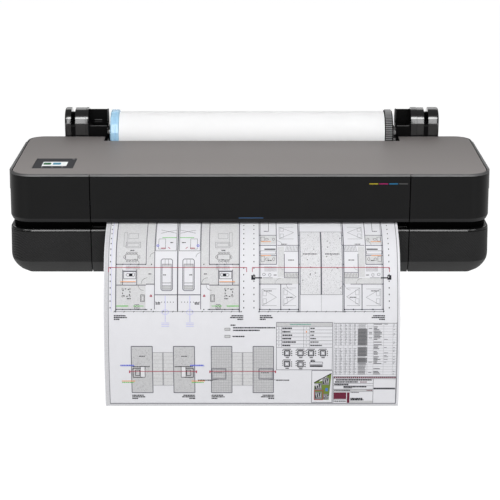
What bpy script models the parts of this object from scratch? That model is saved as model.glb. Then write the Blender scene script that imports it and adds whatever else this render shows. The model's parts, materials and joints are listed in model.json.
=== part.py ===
"""Large format plotter for 610 mm roll media, as an assembly of separate pieces.

Units are metres, +Z is up, +X is the operator's right and -Y is the front.
The origin is the centre of the base's flat underside; the rubber feet reach below it,
and so does the printed sheet that hangs out of the output slot.
"""

from math import acos, cos, pi, sin, sqrt, tan

import bmesh
import bpy
from mathutils import Matrix, Vector

# Driving dimensions -------------------------------------------------------------------
OVERALL_WIDTH = 1.013
SIDE_TRIM = 0.003  # how far the side trims stand proud of the covers
BODY_HALF = OVERALL_WIDTH / 2 - SIDE_TRIM
BODY_DEPTH = 0.370
FRONT = -BODY_DEPTH / 2
BACK = BODY_DEPTH / 2
TOP = 0.2155  # the top plate's upper face
UPPER_BOTTOM = 0.1115
LOWER_TOP = 0.0970
FOOT_HEIGHT = 0.0095
FRONT_RADIUS = 0.050  # plan corners
BACK_RADIUS = 0.040
SEAM = 0.335  # the door and the lower front panel end at x = +-SEAM
FIT = 0.0003  # gap between fixed pieces that touch
RIM = 0.005  # wall of the upper covers, seen as the rim round the top plate
WALL = 0.003
PLATE = 0.003
PLATE_INSET = 0.0074

PAPER_WIDTH = 0.610
MEDIA_X = 0.005  # the media path's centre is a little right of the body's
PAPER_LEFT = MEDIA_X - PAPER_WIDTH / 2
PAPER_RIGHT = MEDIA_X + PAPER_WIDTH / 2
PAPER_THICK = 0.0008
WEB_Z = 0.1104  # the paper's mid-plane over the platen

ROLL_RADIUS = 0.050
CORE_RADIUS = 0.0285
CORE_BORE = 0.0255
ROLL_Y = FRONT + 0.390
ROLL_Z = TOP + 0.003

DRIVE_RADIUS = 0.012
DRIVE_Y = FRONT + 0.150
DRIVE_Z = WEB_Z - PAPER_THICK / 2 - FIT - DRIVE_RADIUS
PINCH_RADIUS = 0.005
PINCH_Z = WEB_Z + PAPER_THICK / 2 + FIT + PINCH_RADIUS
OUTPUT_RADIUS = 0.004
OUTPUT_Y = FRONT + 0.030
OUTPUT_Z = WEB_Z + PAPER_THICK / 2 + FIT + OUTPUT_RADIUS

ROD_RADIUS = 0.006
ROD_Y = FRONT + 0.176
ROD_Z = 0.150
PULLEY_RADIUS = 0.010
PULLEY_Y = FRONT + 0.206
PULLEY_X = 0.455
BELT_Z = 0.166
CARRIAGE_X = 0.398  # parked over the service station

DOOR_AXIS_Y = FRONT + 0.0060
DOOR_AXIS_Z = TOP - 0.0012

DISPLAY_LEFT, DISPLAY_RIGHT = -0.460, -0.374
DISPLAY_FRONT, DISPLAY_BACK = FRONT + 0.056, FRONT + 0.144
DISPLAY_AXIS_Z = TOP - 0.0003

TOWER_RADIUS = 0.034  # the rounded top of a roll support, seen from the side
TOWER_Y = FRONT + 0.4055
TOWER_Z = TOP + 0.026
TOWER_BOTTOM = 0.150
TOWER_INNER, TOWER_OUTER = 0.334, 0.430
CRADLE_END, SLIT = 0.3727, (0.4035, 0.4120)
JOURNAL_RADIUS = 0.0125
COLLAR_RADIUS = 0.0195

GEAR_MODULE = 0.00125
DRIVE_TEETH, PINION_TEETH, SPINDLE_TEETH = 36, 20, 28
MOTOR_ANGLE = -20 * pi / 180  # the feed motor sits behind and a little below the drive roller
MOTOR_DISTANCE = GEAR_MODULE * (DRIVE_TEETH + PINION_TEETH) / 2 + 0.00015
MOTOR_Y = DRIVE_Y + MOTOR_DISTANCE * cos(MOTOR_ANGLE)
MOTOR_Z = DRIVE_Z + MOTOR_DISTANCE * sin(MOTOR_ANGLE)
MOTOR_RADIUS = 0.015
# A tooth of the drive gear meets a gap of the pinion on the line of centres.
PINION_TURN = MOTOR_ANGLE * (1 + DRIVE_TEETH / PINION_TEETH) + pi + pi / PINION_TEETH

ROUND = 48  # segments of a large round piece
SMALL_ROUND = 20


# Helpers ------------------------------------------------------------------------------
def material(name, colour, roughness, metallic=0.0):
    """A Principled material of one colour."""
    made = bpy.data.materials.new(name)
    made.use_nodes = True
    shader = made.node_tree.nodes["Principled BSDF"]
    shader.inputs["Base Color"].default_value = (*colour, 1.0)
    shader.inputs["Roughness"].default_value = roughness
    shader.inputs["Metallic"].default_value = metallic
    return made


def node(name, mesh, finish, follows=None):
    """A named object from a bmesh in world space, following a joint's empty if one is given."""
    data = bpy.data.meshes.new(name)
    bmesh.ops.recalc_face_normals(mesh, faces=mesh.faces)
    mesh.to_mesh(data)
    mesh.free()
    made = bpy.data.objects.new(name, data)
    made.data.materials.append(finish)
    bpy.context.scene.collection.objects.link(made)
    if follows is not None:
        made.parent = follows
        made.matrix_parent_inverse = Matrix.Translation(-follows.location)
    return made


def joint(name, x, y, z):
    """An empty on a joint's axis."""
    made = bpy.data.objects.new(name, None)
    made.location = (x, y, z)
    bpy.context.scene.collection.objects.link(made)
    return made


def loft(rings):
    """A closed surface through rings of equally many points, with flat ends."""
    mesh = bmesh.new()
    loops = [[mesh.verts.new(point) for point in ring] for ring in rings]
    for low, high in zip(loops, loops[1:]):
        for i in range(len(low)):
            j = (i + 1) % len(low)
            mesh.faces.new((low[i], low[j], high[j], high[i]))
    mesh.faces.new(loops[0][::-1])
    mesh.faces.new(loops[-1])
    return mesh


def bar_x(profile, left, right):
    """A (y, z) profile extruded along X."""
    return loft([[(x, y, z) for y, z in profile] for x in (left, right)])


def plate_z(outline, low, high):
    """An (x, y) outline extruded along Z."""
    return loft([[(x, y, z) for x, y in outline] for z in (low, high)])


def box(left, right, front, back, low, high):
    return plate_z([(left, front), (right, front), (right, back), (left, back)], low, high)


def arc(centre, radius, start, end, steps):
    """Points along an arc, in radians from the first axis."""
    return [
        (centre[0] + radius * cos(start + (end - start) * i / steps),
         centre[1] + radius * sin(start + (end - start) * i / steps))
        for i in range(steps + 1)
    ]


def circle(centre, radius, segments):
    return arc(centre, radius, 0, 2 * pi, segments)[:-1]


def turned_x(steps, y, z, segments):
    """A turned solid about an axis along X, from (x, radius) steps."""
    return loft([[(x, *point) for point in circle((y, z), radius, segments)] for x, radius in steps])


def turned_z(steps, x, y, segments):
    """A turned solid about an axis along Z, from (z, radius) steps."""
    return loft([[(*point, z) for point in circle((x, y), radius, segments)] for z, radius in steps])


def tube_x(left, right, inner, outer, y, z, segments):
    """A sleeve along X, open at both ends."""
    mesh = bmesh.new()
    loops = [
        [mesh.verts.new((x, *point)) for point in circle((y, z), radius, segments)]
        for x, radius in ((left, outer), (right, outer), (right, inner), (left, inner))
    ]
    for k, loop in enumerate(loops):
        after = loops[(k + 1) % len(loops)]
        for i in range(segments):
            j = (i + 1) % segments
            mesh.faces.new((loop[i], loop[j], after[j], after[i]))
    return mesh


def cut(target, name, mesh, operation="DIFFERENCE"):
    """A Boolean with a hidden cutter."""
    cutter = node(name, mesh, target.data.materials[0])
    cutter.hide_render = True
    cutter.display_type = "WIRE"
    modifier = target.modifiers.new(name, "BOOLEAN")
    modifier.object = cutter
    modifier.operation = operation
    return cutter


def following(made, follows):
    """Parents a cutter to the joint of the piece it cuts."""
    made.parent = follows
    made.matrix_parent_inverse = Matrix.Translation(-follows.location)


def thickened(line, thickness):
    """The closed outline of a strip centred on a 2-D line."""
    left, right = [], []
    for i, point in enumerate(line):
        before = Vector(line[max(i - 1, 0)])
        after = Vector(line[min(i + 1, len(line) - 1)])
        along = (after - before).normalized()
        side = Vector((-along.y, along.x)) * thickness / 2
        left.append(tuple(Vector(point) + side))
        right.append(tuple(Vector(point) - side))
    return left + right[::-1]


def smooth_line(points, steps):
    """A Catmull-Rom curve through points, with its ends held."""
    held = [points[0], *points, points[-1]]
    line = []
    for a, b, c, d in zip(held, held[1:], held[2:], held[3:]):
        a, b, c, d = map(Vector, (a, b, c, d))
        for k in range(steps):
            t = k / steps
            line.append(tuple(
                0.5 * (2 * b + (c - a) * t + (2 * a - 5 * b + 4 * c - d) * t ** 2
                       + (3 * b - a - 3 * c + d) * t ** 3)
            ))
    return line + [tuple(points[-1])]


def gear_outline(centre, teeth, turn):
    """An involute gear's outline, with backlash, turned by an angle."""
    pressure = 20 * pi / 180
    pitch = GEAR_MODULE * teeth / 2
    base = pitch * cos(pressure)
    root, tip = pitch - 1.2 * GEAR_MODULE, pitch + 0.85 * GEAR_MODULE
    backlash = 0.16 * GEAR_MODULE

    def half_angle(radius):
        working = acos(min(1, base / radius))
        rolled = (tan(pressure) - pressure) - (tan(working) - working)
        return pi / (2 * teeth) - backlash / pitch + rolled

    outline = []
    for k in range(teeth):
        middle = turn + 2 * pi * k / teeth
        flank = [(r, half_angle(max(r, base))) for r in (root, pitch, tip)]
        offsets = [(r, -a) for r, a in flank] + [(r, a) for r, a in flank[::-1]]
        for radius, offset in offsets:
            outline.append((centre[0] + radius * cos(middle + offset),
                            centre[1] + radius * sin(middle + offset)))
    return outline


# Housing ------------------------------------------------------------------------------
def end_outline(side, inner_x, insets):
    """The plan of one end of the body, from the seam round both corners.

    insets are how far the side, front and back walls stand in from the body's outside.
    """
    inset, front_inset, back_inset = insets
    half = BODY_HALF - inset
    front, back = FRONT + front_inset, BACK - back_inset
    front_radius = max(FRONT_RADIUS - inset, 0.006)
    back_radius = max(BACK_RADIUS - inset, 0.006)
    outline = [(inner_x, front)]
    outline += arc((half - front_radius, front + front_radius), front_radius, -pi / 2, 0, 7)
    outline += arc((half - back_radius, back - back_radius), back_radius, 0, pi / 2, 5)
    outline += [(inner_x, back)]
    return [(side * x, y) for x, y in outline]


def end_solid(side, inner_x, levels):
    """A lofted end of the body from (z, insets) levels."""
    return loft([[(x, y, z) for x, y in end_outline(side, inner_x, insets)] for z, insets in levels])


def even(z, inset):
    """A level with all its walls inset alike."""
    return z, (inset, inset, inset)


def side_name(side):
    return "left" if side < 0 else "right"


def upper_cover(side, finish):
    """One end of the upper body: a shell with a waist below, a rim round the top and a side trim."""
    waist, lean, band, edge = 0.018, 0.004, 0.009, 0.0038
    ledge = UPPER_BOTTOM + 0.0005
    levels = [even(LOWER_TOP + FIT, waist), even(UPPER_BOTTOM, waist), even(ledge, lean),
              even(UPPER_BOTTOM + band, 0), even(TOP - edge, 0), even(TOP, edge)]
    made = node(f"upper_{side_name(side)}_cover", end_solid(side, SEAM + FIT, levels), finish)
    inner = waist + WALL
    cavity = [even(LOWER_TOP - 0.01, inner), even(UPPER_BOTTOM + WALL, inner),
              even(ledge + WALL, RIM), even(TOP + 0.01, RIM)]
    cut(made, f"cut_upper_{side_name(side)}", end_solid(side, SEAM - 0.02, cavity))
    trim = [(FRONT + 0.054, TOP - 0.039), (FRONT + 0.324, TOP - 0.036),
            (FRONT + 0.320, TOP - 0.002), (FRONT + 0.060, TOP - 0.002)]
    cut(made, f"join_trim_{side_name(side)}",
        bar_x(trim, side * (BODY_HALF - 0.002), side * OVERALL_WIDTH / 2), "UNION")
    return made


def base_inset(height):
    """How far the lower body's side and front walls lean in at a height, as (side, front)."""
    side_round, side_depth = 0.037, 0.040
    front_round, front_depth = 0.026, 0.018
    up = min(1, height / side_round)
    side = side_depth * (1 - sqrt(1 - (1 - up) ** 2))
    return side, front_depth * max(0, 1 - height / front_round) ** 1.25


def lower_levels(low, high, wall):
    """Levels for the lower body's outside (wall 0) or its cavity."""
    heights = [low + (0.040 - low) * (i / 6) ** 1.6 for i in range(7)] + [high - 0.0015, high]
    levels = []
    for height in heights:
        side, front = base_inset(max(0, height - wall))
        edge = 0.0015 if height == high and wall == 0 else 0
        levels.append((height, (side + wall + edge, front + wall + edge, wall + edge)))
    return levels


def lower_cover(side, finish):
    """One end of the lower body, open only towards the middle."""
    made = node(f"lower_{side_name(side)}_cover",
                end_solid(side, SEAM + FIT, lower_levels(0, LOWER_TOP, 0)), finish)
    cavity = end_solid(side, SEAM - 0.02, lower_levels(WALL, LOWER_TOP - WALL, WALL))
    cut(made, f"cut_lower_{side_name(side)}", cavity)
    return made


def top_plate(finish):
    """The grey plate over the whole body, with a notch for the roll and a hole for the display."""
    insets = (PLATE_INSET, PLATE_INSET, PLATE_INSET)
    right = end_outline(1, 0, insets)[1:-1]
    left = end_outline(-1, 0, insets)[1:-1]
    made = node("top_plate", plate_z(right + left[::-1], TOP - PLATE, TOP), finish)
    cut(made, "cut_roll_notch",
        box(MEDIA_X - 0.338, MEDIA_X + 0.338, FRONT + 0.318, BACK + 0.02, TOP - 0.02, TOP + 0.02))
    clear = 0.0006
    cut(made, "cut_display_hole",
        box(DISPLAY_LEFT - clear, DISPLAY_RIGHT + clear, DISPLAY_FRONT - clear, DISPLAY_BACK + clear,
            TOP - 0.02, TOP + 0.02))
    return made


def front_door(finish, light_finish, follows):
    """The visor between the seams: it lifts to reach the carriage and the ink."""
    f, b, t = FRONT, UPPER_BOTTOM, TOP
    profile = [(f + 0.0040, b), (f, b + 0.009), (f, t - 0.0038), (f + 0.0038, t), (f + 0.0050, t),
               (f + 0.0050, t - 0.004), (f + WALL, t - 0.007), (f + WALL, b + 0.010),
               (f + 0.0062, b + 0.0028), (f + 0.0110, b + 0.0028), (f + 0.0110, b)]
    door = node("front_door", bar_x(profile, -SEAM + FIT, SEAM - FIT), finish, follows)
    left, right, low, high = -0.023, 0.029, b + 0.0094, b + 0.0118
    following(cut(door, "cut_status_light", box(left, right, f - 0.01, f + 0.01, low, high)), follows)
    node("status_light",
         box(left + FIT, right - FIT, f + 0.0002, f + WALL - 0.0002, low + FIT, high - FIT),
         light_finish, follows)


def lower_front_panel(finish):
    """The chamfered panel below the output slot."""
    rise = [(FRONT + base_inset(z)[1], z) for z in [0.026 * i / 4 for i in range(5)]]
    inner = [(y + WALL, z + WALL) for y, z in rise]
    profile = [(FRONT + 0.060, 0), *rise, (FRONT, LOWER_TOP - 0.0015), (FRONT + 0.0015, LOWER_TOP),
               (FRONT + 0.020, LOWER_TOP), (FRONT + 0.020, LOWER_TOP - WALL),
               (FRONT + WALL, LOWER_TOP - WALL), *inner[::-1], (FRONT + 0.060, WALL)]
    return node("lower_front_panel", bar_x(profile, -SEAM + FIT, SEAM - FIT), finish)


def base_pan(finish):
    """The floor between the end covers, with the back wall folded up from it."""
    front = FRONT + 0.060 + FIT
    profile = [(front, 0), (BACK, 0), (BACK, 0.1532), (BACK - WALL, 0.1532), (BACK - WALL, WALL),
               (front, WALL)]
    return node("base_pan", bar_x(profile, -SEAM + FIT, SEAM - FIT), finish)


def feet(finish):
    for y, where in ((FRONT + 0.060, "front"), (FRONT + 0.310, "back")):
        for x, side in ((-0.400, "left"), (0.400, "right")):
            steps = [(-FOOT_HEIGHT, 0.0125), (-0.002, 0.0135), (-FIT, 0.0135)]
            node(f"foot_{where}_{side}", turned_z(steps, x, y, SMALL_ROUND), finish)


# Paper path ---------------------------------------------------------------------------
def paper_guides(finish):
    """The trough, guide, platen and chute that carry the paper from the roll to the slot."""
    left, right = PAPER_LEFT - 0.006, PAPER_RIGHT + 0.006
    chute = [(FRONT + 0.0205, 0.0940), (FRONT + 0.0730, 0.1050), (FRONT + 0.0730, 0.1085),
             (FRONT + 0.0205, 0.0972)]
    node("output_chute", bar_x(chute, -SEAM + 0.002, SEAM - 0.002), finish)
    front, back, foot = FRONT + 0.0740, FRONT + 0.1340, WALL + FIT
    platen = [(front, foot), (front + WALL, foot), (front + WALL, 0.1060), (back - WALL, 0.1060),
              (back - WALL, foot), (back, foot), (back, 0.1090), (front, 0.1090)]
    node("print_platen", bar_x(platen, left, right), finish)
    turn = (FRONT + 0.290, WEB_Z + 0.050)
    guide = [(FRONT + 0.1700, turn[1] - 0.046), *arc(turn, 0.046, -pi / 2, 0, 6)[:-1],
             (FRONT + 0.3300, turn[1] + 0.010), (FRONT + 0.3200, TOP - PLATE - 0.004)]
    node("paper_guide", bar_x(thickened(guide, 0.0022), left, right), finish)
    trough = arc((ROLL_Y, ROLL_Z), ROLL_RADIUS + 0.016, 226 * pi / 180, 318 * pi / 180, 8)
    node("roll_trough", bar_x(thickened(trough, WALL), MEDIA_X - TOWER_INNER + 0.001,
                              MEDIA_X + TOWER_INNER - 0.001), finish)


def sheet_line():
    """The output sheet's mid-line: level over the platen, then a bow that hangs clear of the front."""
    return smooth_line(
        [(FRONT + 0.140, WEB_Z), (FRONT + 0.070, WEB_Z), (FRONT + 0.034, WEB_Z - 0.0004),
         (FRONT + 0.008, WEB_Z - 0.0022), (FRONT - 0.034, 0.0900), (FRONT - 0.070, 0.0570),
         (FRONT - 0.106, -0.0230), (FRONT - 0.1240, -0.1040), (FRONT - 0.1290, -0.1800),
         (FRONT - 0.1245, -0.2500)], 3)


def media(paper, card, follows_sheet, follows_roll):
    """The roll, its core, the web inside the printer and the sheet that has been fed out."""
    node("output_sheet", bar_x(thickened(sheet_line(), PAPER_THICK), PAPER_LEFT, PAPER_RIGHT),
         paper, follows_sheet)
    turn = (FRONT + 0.290, WEB_Z + 0.050)
    web = [(FRONT + 0.142, WEB_Z)] + arc(turn, 0.050, -pi / 2, 0, 8)
    web += [(ROLL_Y - ROLL_RADIUS - 0.0008, ROLL_Z - 0.012)]
    node("paper_web", bar_x(thickened(web, PAPER_THICK), PAPER_LEFT, PAPER_RIGHT), paper)
    for name, inner, outer, finish in (("paper_roll", CORE_RADIUS + FIT, ROLL_RADIUS, paper),
                                       ("paper_core", CORE_BORE, CORE_RADIUS, card)):
        node(name, tube_x(PAPER_LEFT, PAPER_RIGHT, inner, outer, ROLL_Y, ROLL_Z, ROUND), finish,
             follows_roll)


def drive_train(rubber, steel, plastic, follows_drive, follows_motor):
    """The drive roller between its posts, with its gear and the motor's pinion."""
    shaft = 0.004
    left, right = PAPER_LEFT - 0.004, PAPER_RIGHT + 0.006
    steps = [(-0.3325, shaft), (left, shaft), (left, DRIVE_RADIUS), (right, DRIVE_RADIUS),
             (right, shaft), (0.3320, shaft)]
    node("drive_roller", turned_x(steps, DRIVE_Y, DRIVE_Z, 32), rubber, follows_drive)
    wheel = node("drive_gear", bar_x(gear_outline((DRIVE_Y, DRIVE_Z), DRIVE_TEETH, 0), -0.3330, -0.3250),
                 plastic, follows_drive)
    bore = turned_x([(-0.34, shaft + FIT), (-0.32, shaft + FIT)], DRIVE_Y, DRIVE_Z, SMALL_ROUND)
    following(cut(wheel, "cut_gear_bore", bore), follows_drive)
    pinion = gear_outline((MOTOR_Y, MOTOR_Z), PINION_TEETH, PINION_TURN)
    node("feed_motor_pinion", bar_x(pinion, -0.3330, -0.3240), plastic, follows_motor)
    motor = [(MOTOR_Y - MOTOR_RADIUS, WALL + FIT), (MOTOR_Y + MOTOR_RADIUS, WALL + FIT),
             *arc((MOTOR_Y, MOTOR_Z), MOTOR_RADIUS, 0, pi, 12)]
    node("feed_motor", bar_x(motor, -0.3225, -0.2800), steel)
    for x, where in ((-0.3145, "left"), (0.3250, "right")):
        half, reach = 0.0045, shaft + 0.0004
        post = node(f"roller_post_{where}",
                    box(x - half, x + half, DRIVE_Y - 0.009, DRIVE_Y + 0.0175, WALL + FIT, 0.1142), plastic)
        bore = turned_x([(x - 0.01, reach), (x + 0.01, reach)], DRIVE_Y, DRIVE_Z, SMALL_ROUND)
        cut(post, f"cut_post_{where}", bore)


def idle_rollers(rubber, steel, follows_pinch, follows_output):
    """The pinch roller under its bar, and the output roller behind the slot."""
    ends = [(PAPER_LEFT + 0.01, PINCH_RADIUS), (PAPER_RIGHT - 0.01, PINCH_RADIUS)]
    node("pinch_roller", turned_x(ends, DRIVE_Y, PINCH_Z, SMALL_ROUND), rubber, follows_pinch)
    front, back = DRIVE_Y - 0.0065, DRIVE_Y + 0.0175
    bar = [(front, 0.1225), (back - 0.0025, 0.1225), (back - 0.0025, 0.1145), (back, 0.1145),
           (back, 0.1250), (front, 0.1250)]
    node("pinch_bar", bar_x(bar, -0.3195, 0.3300), steel)
    node("output_roller", turned_x([(-0.3340, OUTPUT_RADIUS), (0.3340, OUTPUT_RADIUS)],
                                   OUTPUT_Y, OUTPUT_Z, SMALL_ROUND), rubber, follows_output)


# Roll ---------------------------------------------------------------------------------
def tower_profile():
    return [(TOWER_Y + TOWER_RADIUS, TOWER_BOTTOM),
            *arc((TOWER_Y, TOWER_Z), TOWER_RADIUS, 0, pi, 18),
            (TOWER_Y - TOWER_RADIUS, TOWER_BOTTOM)]


def roll_support(side, finish):
    """A tower that holds one end of the spindle in an open cradle."""
    name = side_name(side)

    def at(distance):
        return MEDIA_X + side * distance

    made = node(f"roll_support_{name}", bar_x(tower_profile(), at(TOWER_INNER), at(TOWER_OUTER)), finish)
    front, inside = TOWER_Y - TOWER_RADIUS - 0.01, TOWER_Y + 0.0185
    far = TOWER_Y + TOWER_RADIUS + 0.01
    high = TOP + 0.08
    cut(made, f"cut_cradle_{name}",
        box(*sorted((at(TOWER_INNER - 0.01), side * CRADLE_END)), front, inside, TOP + 0.025, high))
    lip = 0.0145
    channel = [(ROLL_Y + lip, high), (ROLL_Y + lip, ROLL_Z),
               *arc((ROLL_Y, ROLL_Z), JOURNAL_RADIUS + 0.0006, 0, -pi, 10)[1:-1],
               (ROLL_Y - JOURNAL_RADIUS - 0.0006, ROLL_Z), (ROLL_Y - JOURNAL_RADIUS - 0.0006, high)]
    cut(made, f"cut_channel_{name}", bar_x(channel, at(TOWER_INNER - 0.01), side * (CRADLE_END - 0.008)))
    cut(made, f"cut_slit_{name}",
        box(*sorted((side * SLIT[0], side * SLIT[1])), front, inside, TOP + 0.022, high))
    cut(made, f"cut_slit_top_{name}",
        box(*sorted((side * SLIT[0], side * SLIT[1])), front - 0.001, far, TOP + 0.045, high + 0.001))
    return made


def spindle(steel, black, blue, follows):
    """The shaft with its two flanged hubs and its gear; its journals run in the cradles."""
    end, collar_in, collar_out = 0.3555, 0.3255, 0.3325
    steps = [(MEDIA_X - end, JOURNAL_RADIUS), (MEDIA_X - collar_out, JOURNAL_RADIUS),
             (MEDIA_X - collar_out, COLLAR_RADIUS - 0.002), (MEDIA_X - collar_out + 0.003, COLLAR_RADIUS),
             (MEDIA_X - collar_in, COLLAR_RADIUS), (MEDIA_X - collar_in, JOURNAL_RADIUS),
             (MEDIA_X + end, JOURNAL_RADIUS)]
    node("spindle_shaft", turned_x(steps, ROLL_Y, ROLL_Z, 32), steel, follows)
    inside, flange = PAPER_WIDTH / 2 + FIT, ROLL_RADIUS + 0.0045
    bore = JOURNAL_RADIUS + 0.0004
    for side, name, finish, thick in ((-1, "blue_hub", blue, 0.0195), (1, "black_hub", black, 0.0190)):
        hub = node(name, turned_hub(side, inside, thick, flange, CORE_BORE - 0.0006), finish, follows)
        hole = turned_x([(MEDIA_X + side * 0.2, bore), (MEDIA_X + side * 0.4, bore)], ROLL_Y, ROLL_Z, 32)
        following(cut(hub, f"cut_{name}", hole), follows)
    outline = gear_outline((ROLL_Y, ROLL_Z), SPINDLE_TEETH, 0)
    gear = node("spindle_gear", bar_x(outline, MEDIA_X + 0.3250, MEDIA_X + 0.3325), black, follows)
    hole = turned_x([(MEDIA_X + 0.30, bore), (MEDIA_X + 0.36, bore)], ROLL_Y, ROLL_Z, 32)
    following(cut(gear, "cut_spindle_gear", hole), follows)


def turned_hub(side, inside, thick, flange, spigot):
    """A hub's outside: a flange against the paper's end and a spigot into the core."""
    steps = [(inside - 0.030, spigot - 0.002), (inside - 0.026, spigot), (inside, spigot),
             (inside, flange - 0.002), (inside + 0.0015, flange), (inside + thick - 0.002, flange),
             (inside + thick, flange - 0.003)]
    return turned_x([(MEDIA_X + side * x, radius) for x, radius in steps], ROLL_Y, ROLL_Z, ROUND)


# Carriage and ink ---------------------------------------------------------------------
def carriage(plastic, dark, follows):
    """The print carriage: it hangs on the guide rod, is clamped to the belt and holds the printhead."""
    half = 0.045
    back, lug = ROD_Y + 0.011, 0.0120
    profile = [(FRONT + 0.084, 0.1215), (FRONT + 0.136, 0.1215), (FRONT + 0.136, 0.1285),
               (back, 0.1285), (back, ROD_Z + lug), (PULLEY_Y - PULLEY_RADIUS - 0.0021, ROD_Z + lug),
               (PULLEY_Y - PULLEY_RADIUS - 0.0021, BELT_Z + 0.003), (FRONT + 0.156, BELT_Z + 0.003),
               (FRONT + 0.150, 0.1960), (FRONT + 0.090, 0.2010), (FRONT + 0.084, 0.1960)]
    made = node("carriage", bar_x(profile, CARRIAGE_X - half, CARRIAGE_X + half), plastic, follows)
    radius = ROD_RADIUS + 0.0005
    bore = turned_x([(CARRIAGE_X - 0.06, radius), (CARRIAGE_X + 0.06, radius)], ROD_Y, ROD_Z, 24)
    following(cut(made, "cut_carriage_bore", bore), follows)
    wide = 0.032
    node("printhead", box(CARRIAGE_X - wide, CARRIAGE_X + wide, FRONT + 0.090, FRONT + 0.130, 0.1132, 0.1212),
         dark, follows)


def scan_axis(steel, black, clear, follows_left, follows_right):
    """The guide rod, the belt's loop with its pulleys and motor, and the encoder strip."""
    reach = BODY_HALF - RIM - FIT
    node("guide_rod", turned_x([(-reach, ROD_RADIUS), (reach, ROD_RADIUS)], ROD_Y, ROD_Z, 24), steel)
    low, high = BELT_Z - 0.003, BELT_Z + 0.003
    ring = node("carriage_belt", plate_z(racetrack(PULLEY_RADIUS + 0.0018), low, high), black)
    cut(ring, "cut_belt", plate_z(racetrack(PULLEY_RADIUS + FIT), low - 0.01, high + 0.01))
    for side, name, follows in ((-1, "drive_pulley", follows_left), (1, "idler_pulley", follows_right)):
        steps = [(BELT_Z - 0.004, PULLEY_RADIUS), (BELT_Z + 0.004, PULLEY_RADIUS)]
        node(name, turned_z(steps, side * PULLEY_X, PULLEY_Y, SMALL_ROUND), steel, follows)
    motor = [(LOWER_TOP + FIT, 0.0175), (BELT_Z - 0.006, 0.0175)]
    node("carriage_motor", turned_z(motor, -PULLEY_X, PULLEY_Y, 24), steel)
    post = [(LOWER_TOP + FIT, 0.006), (BELT_Z - 0.0043, 0.006)]
    node("idler_post", turned_z(post, PULLEY_X, PULLEY_Y, 16), steel)
    node("encoder_strip", box(-reach, reach, FRONT + 0.2300, FRONT + 0.2305, 0.1720, 0.1800), clear)


def racetrack(radius):
    """The belt's plan: two half circles joined by straight runs."""
    return (arc((PULLEY_X, PULLEY_Y), radius, -pi / 2, pi / 2, 8)
            + arc((-PULLEY_X, PULLEY_Y), radius, pi / 2, 3 * pi / 2, 8))


def ink(finishes, dark):
    """Four cartridges standing in a tray behind the door's right end."""
    front = FRONT + RIM + FIT
    tray = [(front, 0.1440), (FRONT + 0.0785, 0.1440), (FRONT + 0.0785, 0.1980),
            (FRONT + 0.0765, 0.1980), (FRONT + 0.0765, 0.1460), (front, 0.1460)]
    node("ink_tray", bar_x(tray, 0.2460, 0.3450), dark)
    for i, (name, finish) in enumerate(finishes):
        middle = 0.2575 + 0.0206 * i
        profile = [(FRONT + 0.0100, 0.1520), (FRONT + 0.0160, 0.1463), (FRONT + 0.0760, 0.1463),
                   (FRONT + 0.0760, 0.2000), (FRONT + 0.0100, 0.2000)]
        node(f"ink_cartridge_{name}", bar_x(profile, middle - 0.0090, middle + 0.0090), finish)


def cutter(dark, steel, follows):
    """The cutter on its own rail, parked at the left of the paper."""
    front, back = FRONT + 0.0480, FRONT + 0.0680
    rail = [(front, 0.1375), (back, 0.1375), (back, 0.1425), (front, 0.1425)]
    node("cutter_rail", bar_x(rail, -0.4978, 0.4978), steel)
    profile = [(FRONT + 0.0500, 0.1150), (FRONT + 0.0620, 0.1125), (FRONT + 0.0690, 0.1150),
               (FRONT + 0.0690, 0.1370), (FRONT + 0.0500, 0.1370)]
    node("cutter", bar_x(profile, -0.3310, -0.3090), dark, follows)


def service_station(dark, right_lower):
    """The station that caps the printhead, standing through an opening in the lower cover's deck."""
    left, right = CARRIAGE_X - 0.040, CARRIAGE_X + 0.040
    front, back = FRONT + 0.080, FRONT + 0.140
    gap, deck = 0.003, LOWER_TOP
    opening = box(left - gap, right + gap, front - gap, back + gap, deck - 0.01, deck + 0.01)
    cut(right_lower, "cut_station", opening)
    made = node("service_station", box(left, right, front, back, WALL + FIT, 0.1080), dark)
    cap = box(CARRIAGE_X - 0.030, CARRIAGE_X + 0.030, FRONT + 0.092, FRONT + 0.128, 0.1070, 0.1128)
    cut(made, "join_cap", cap, "UNION")


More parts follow.
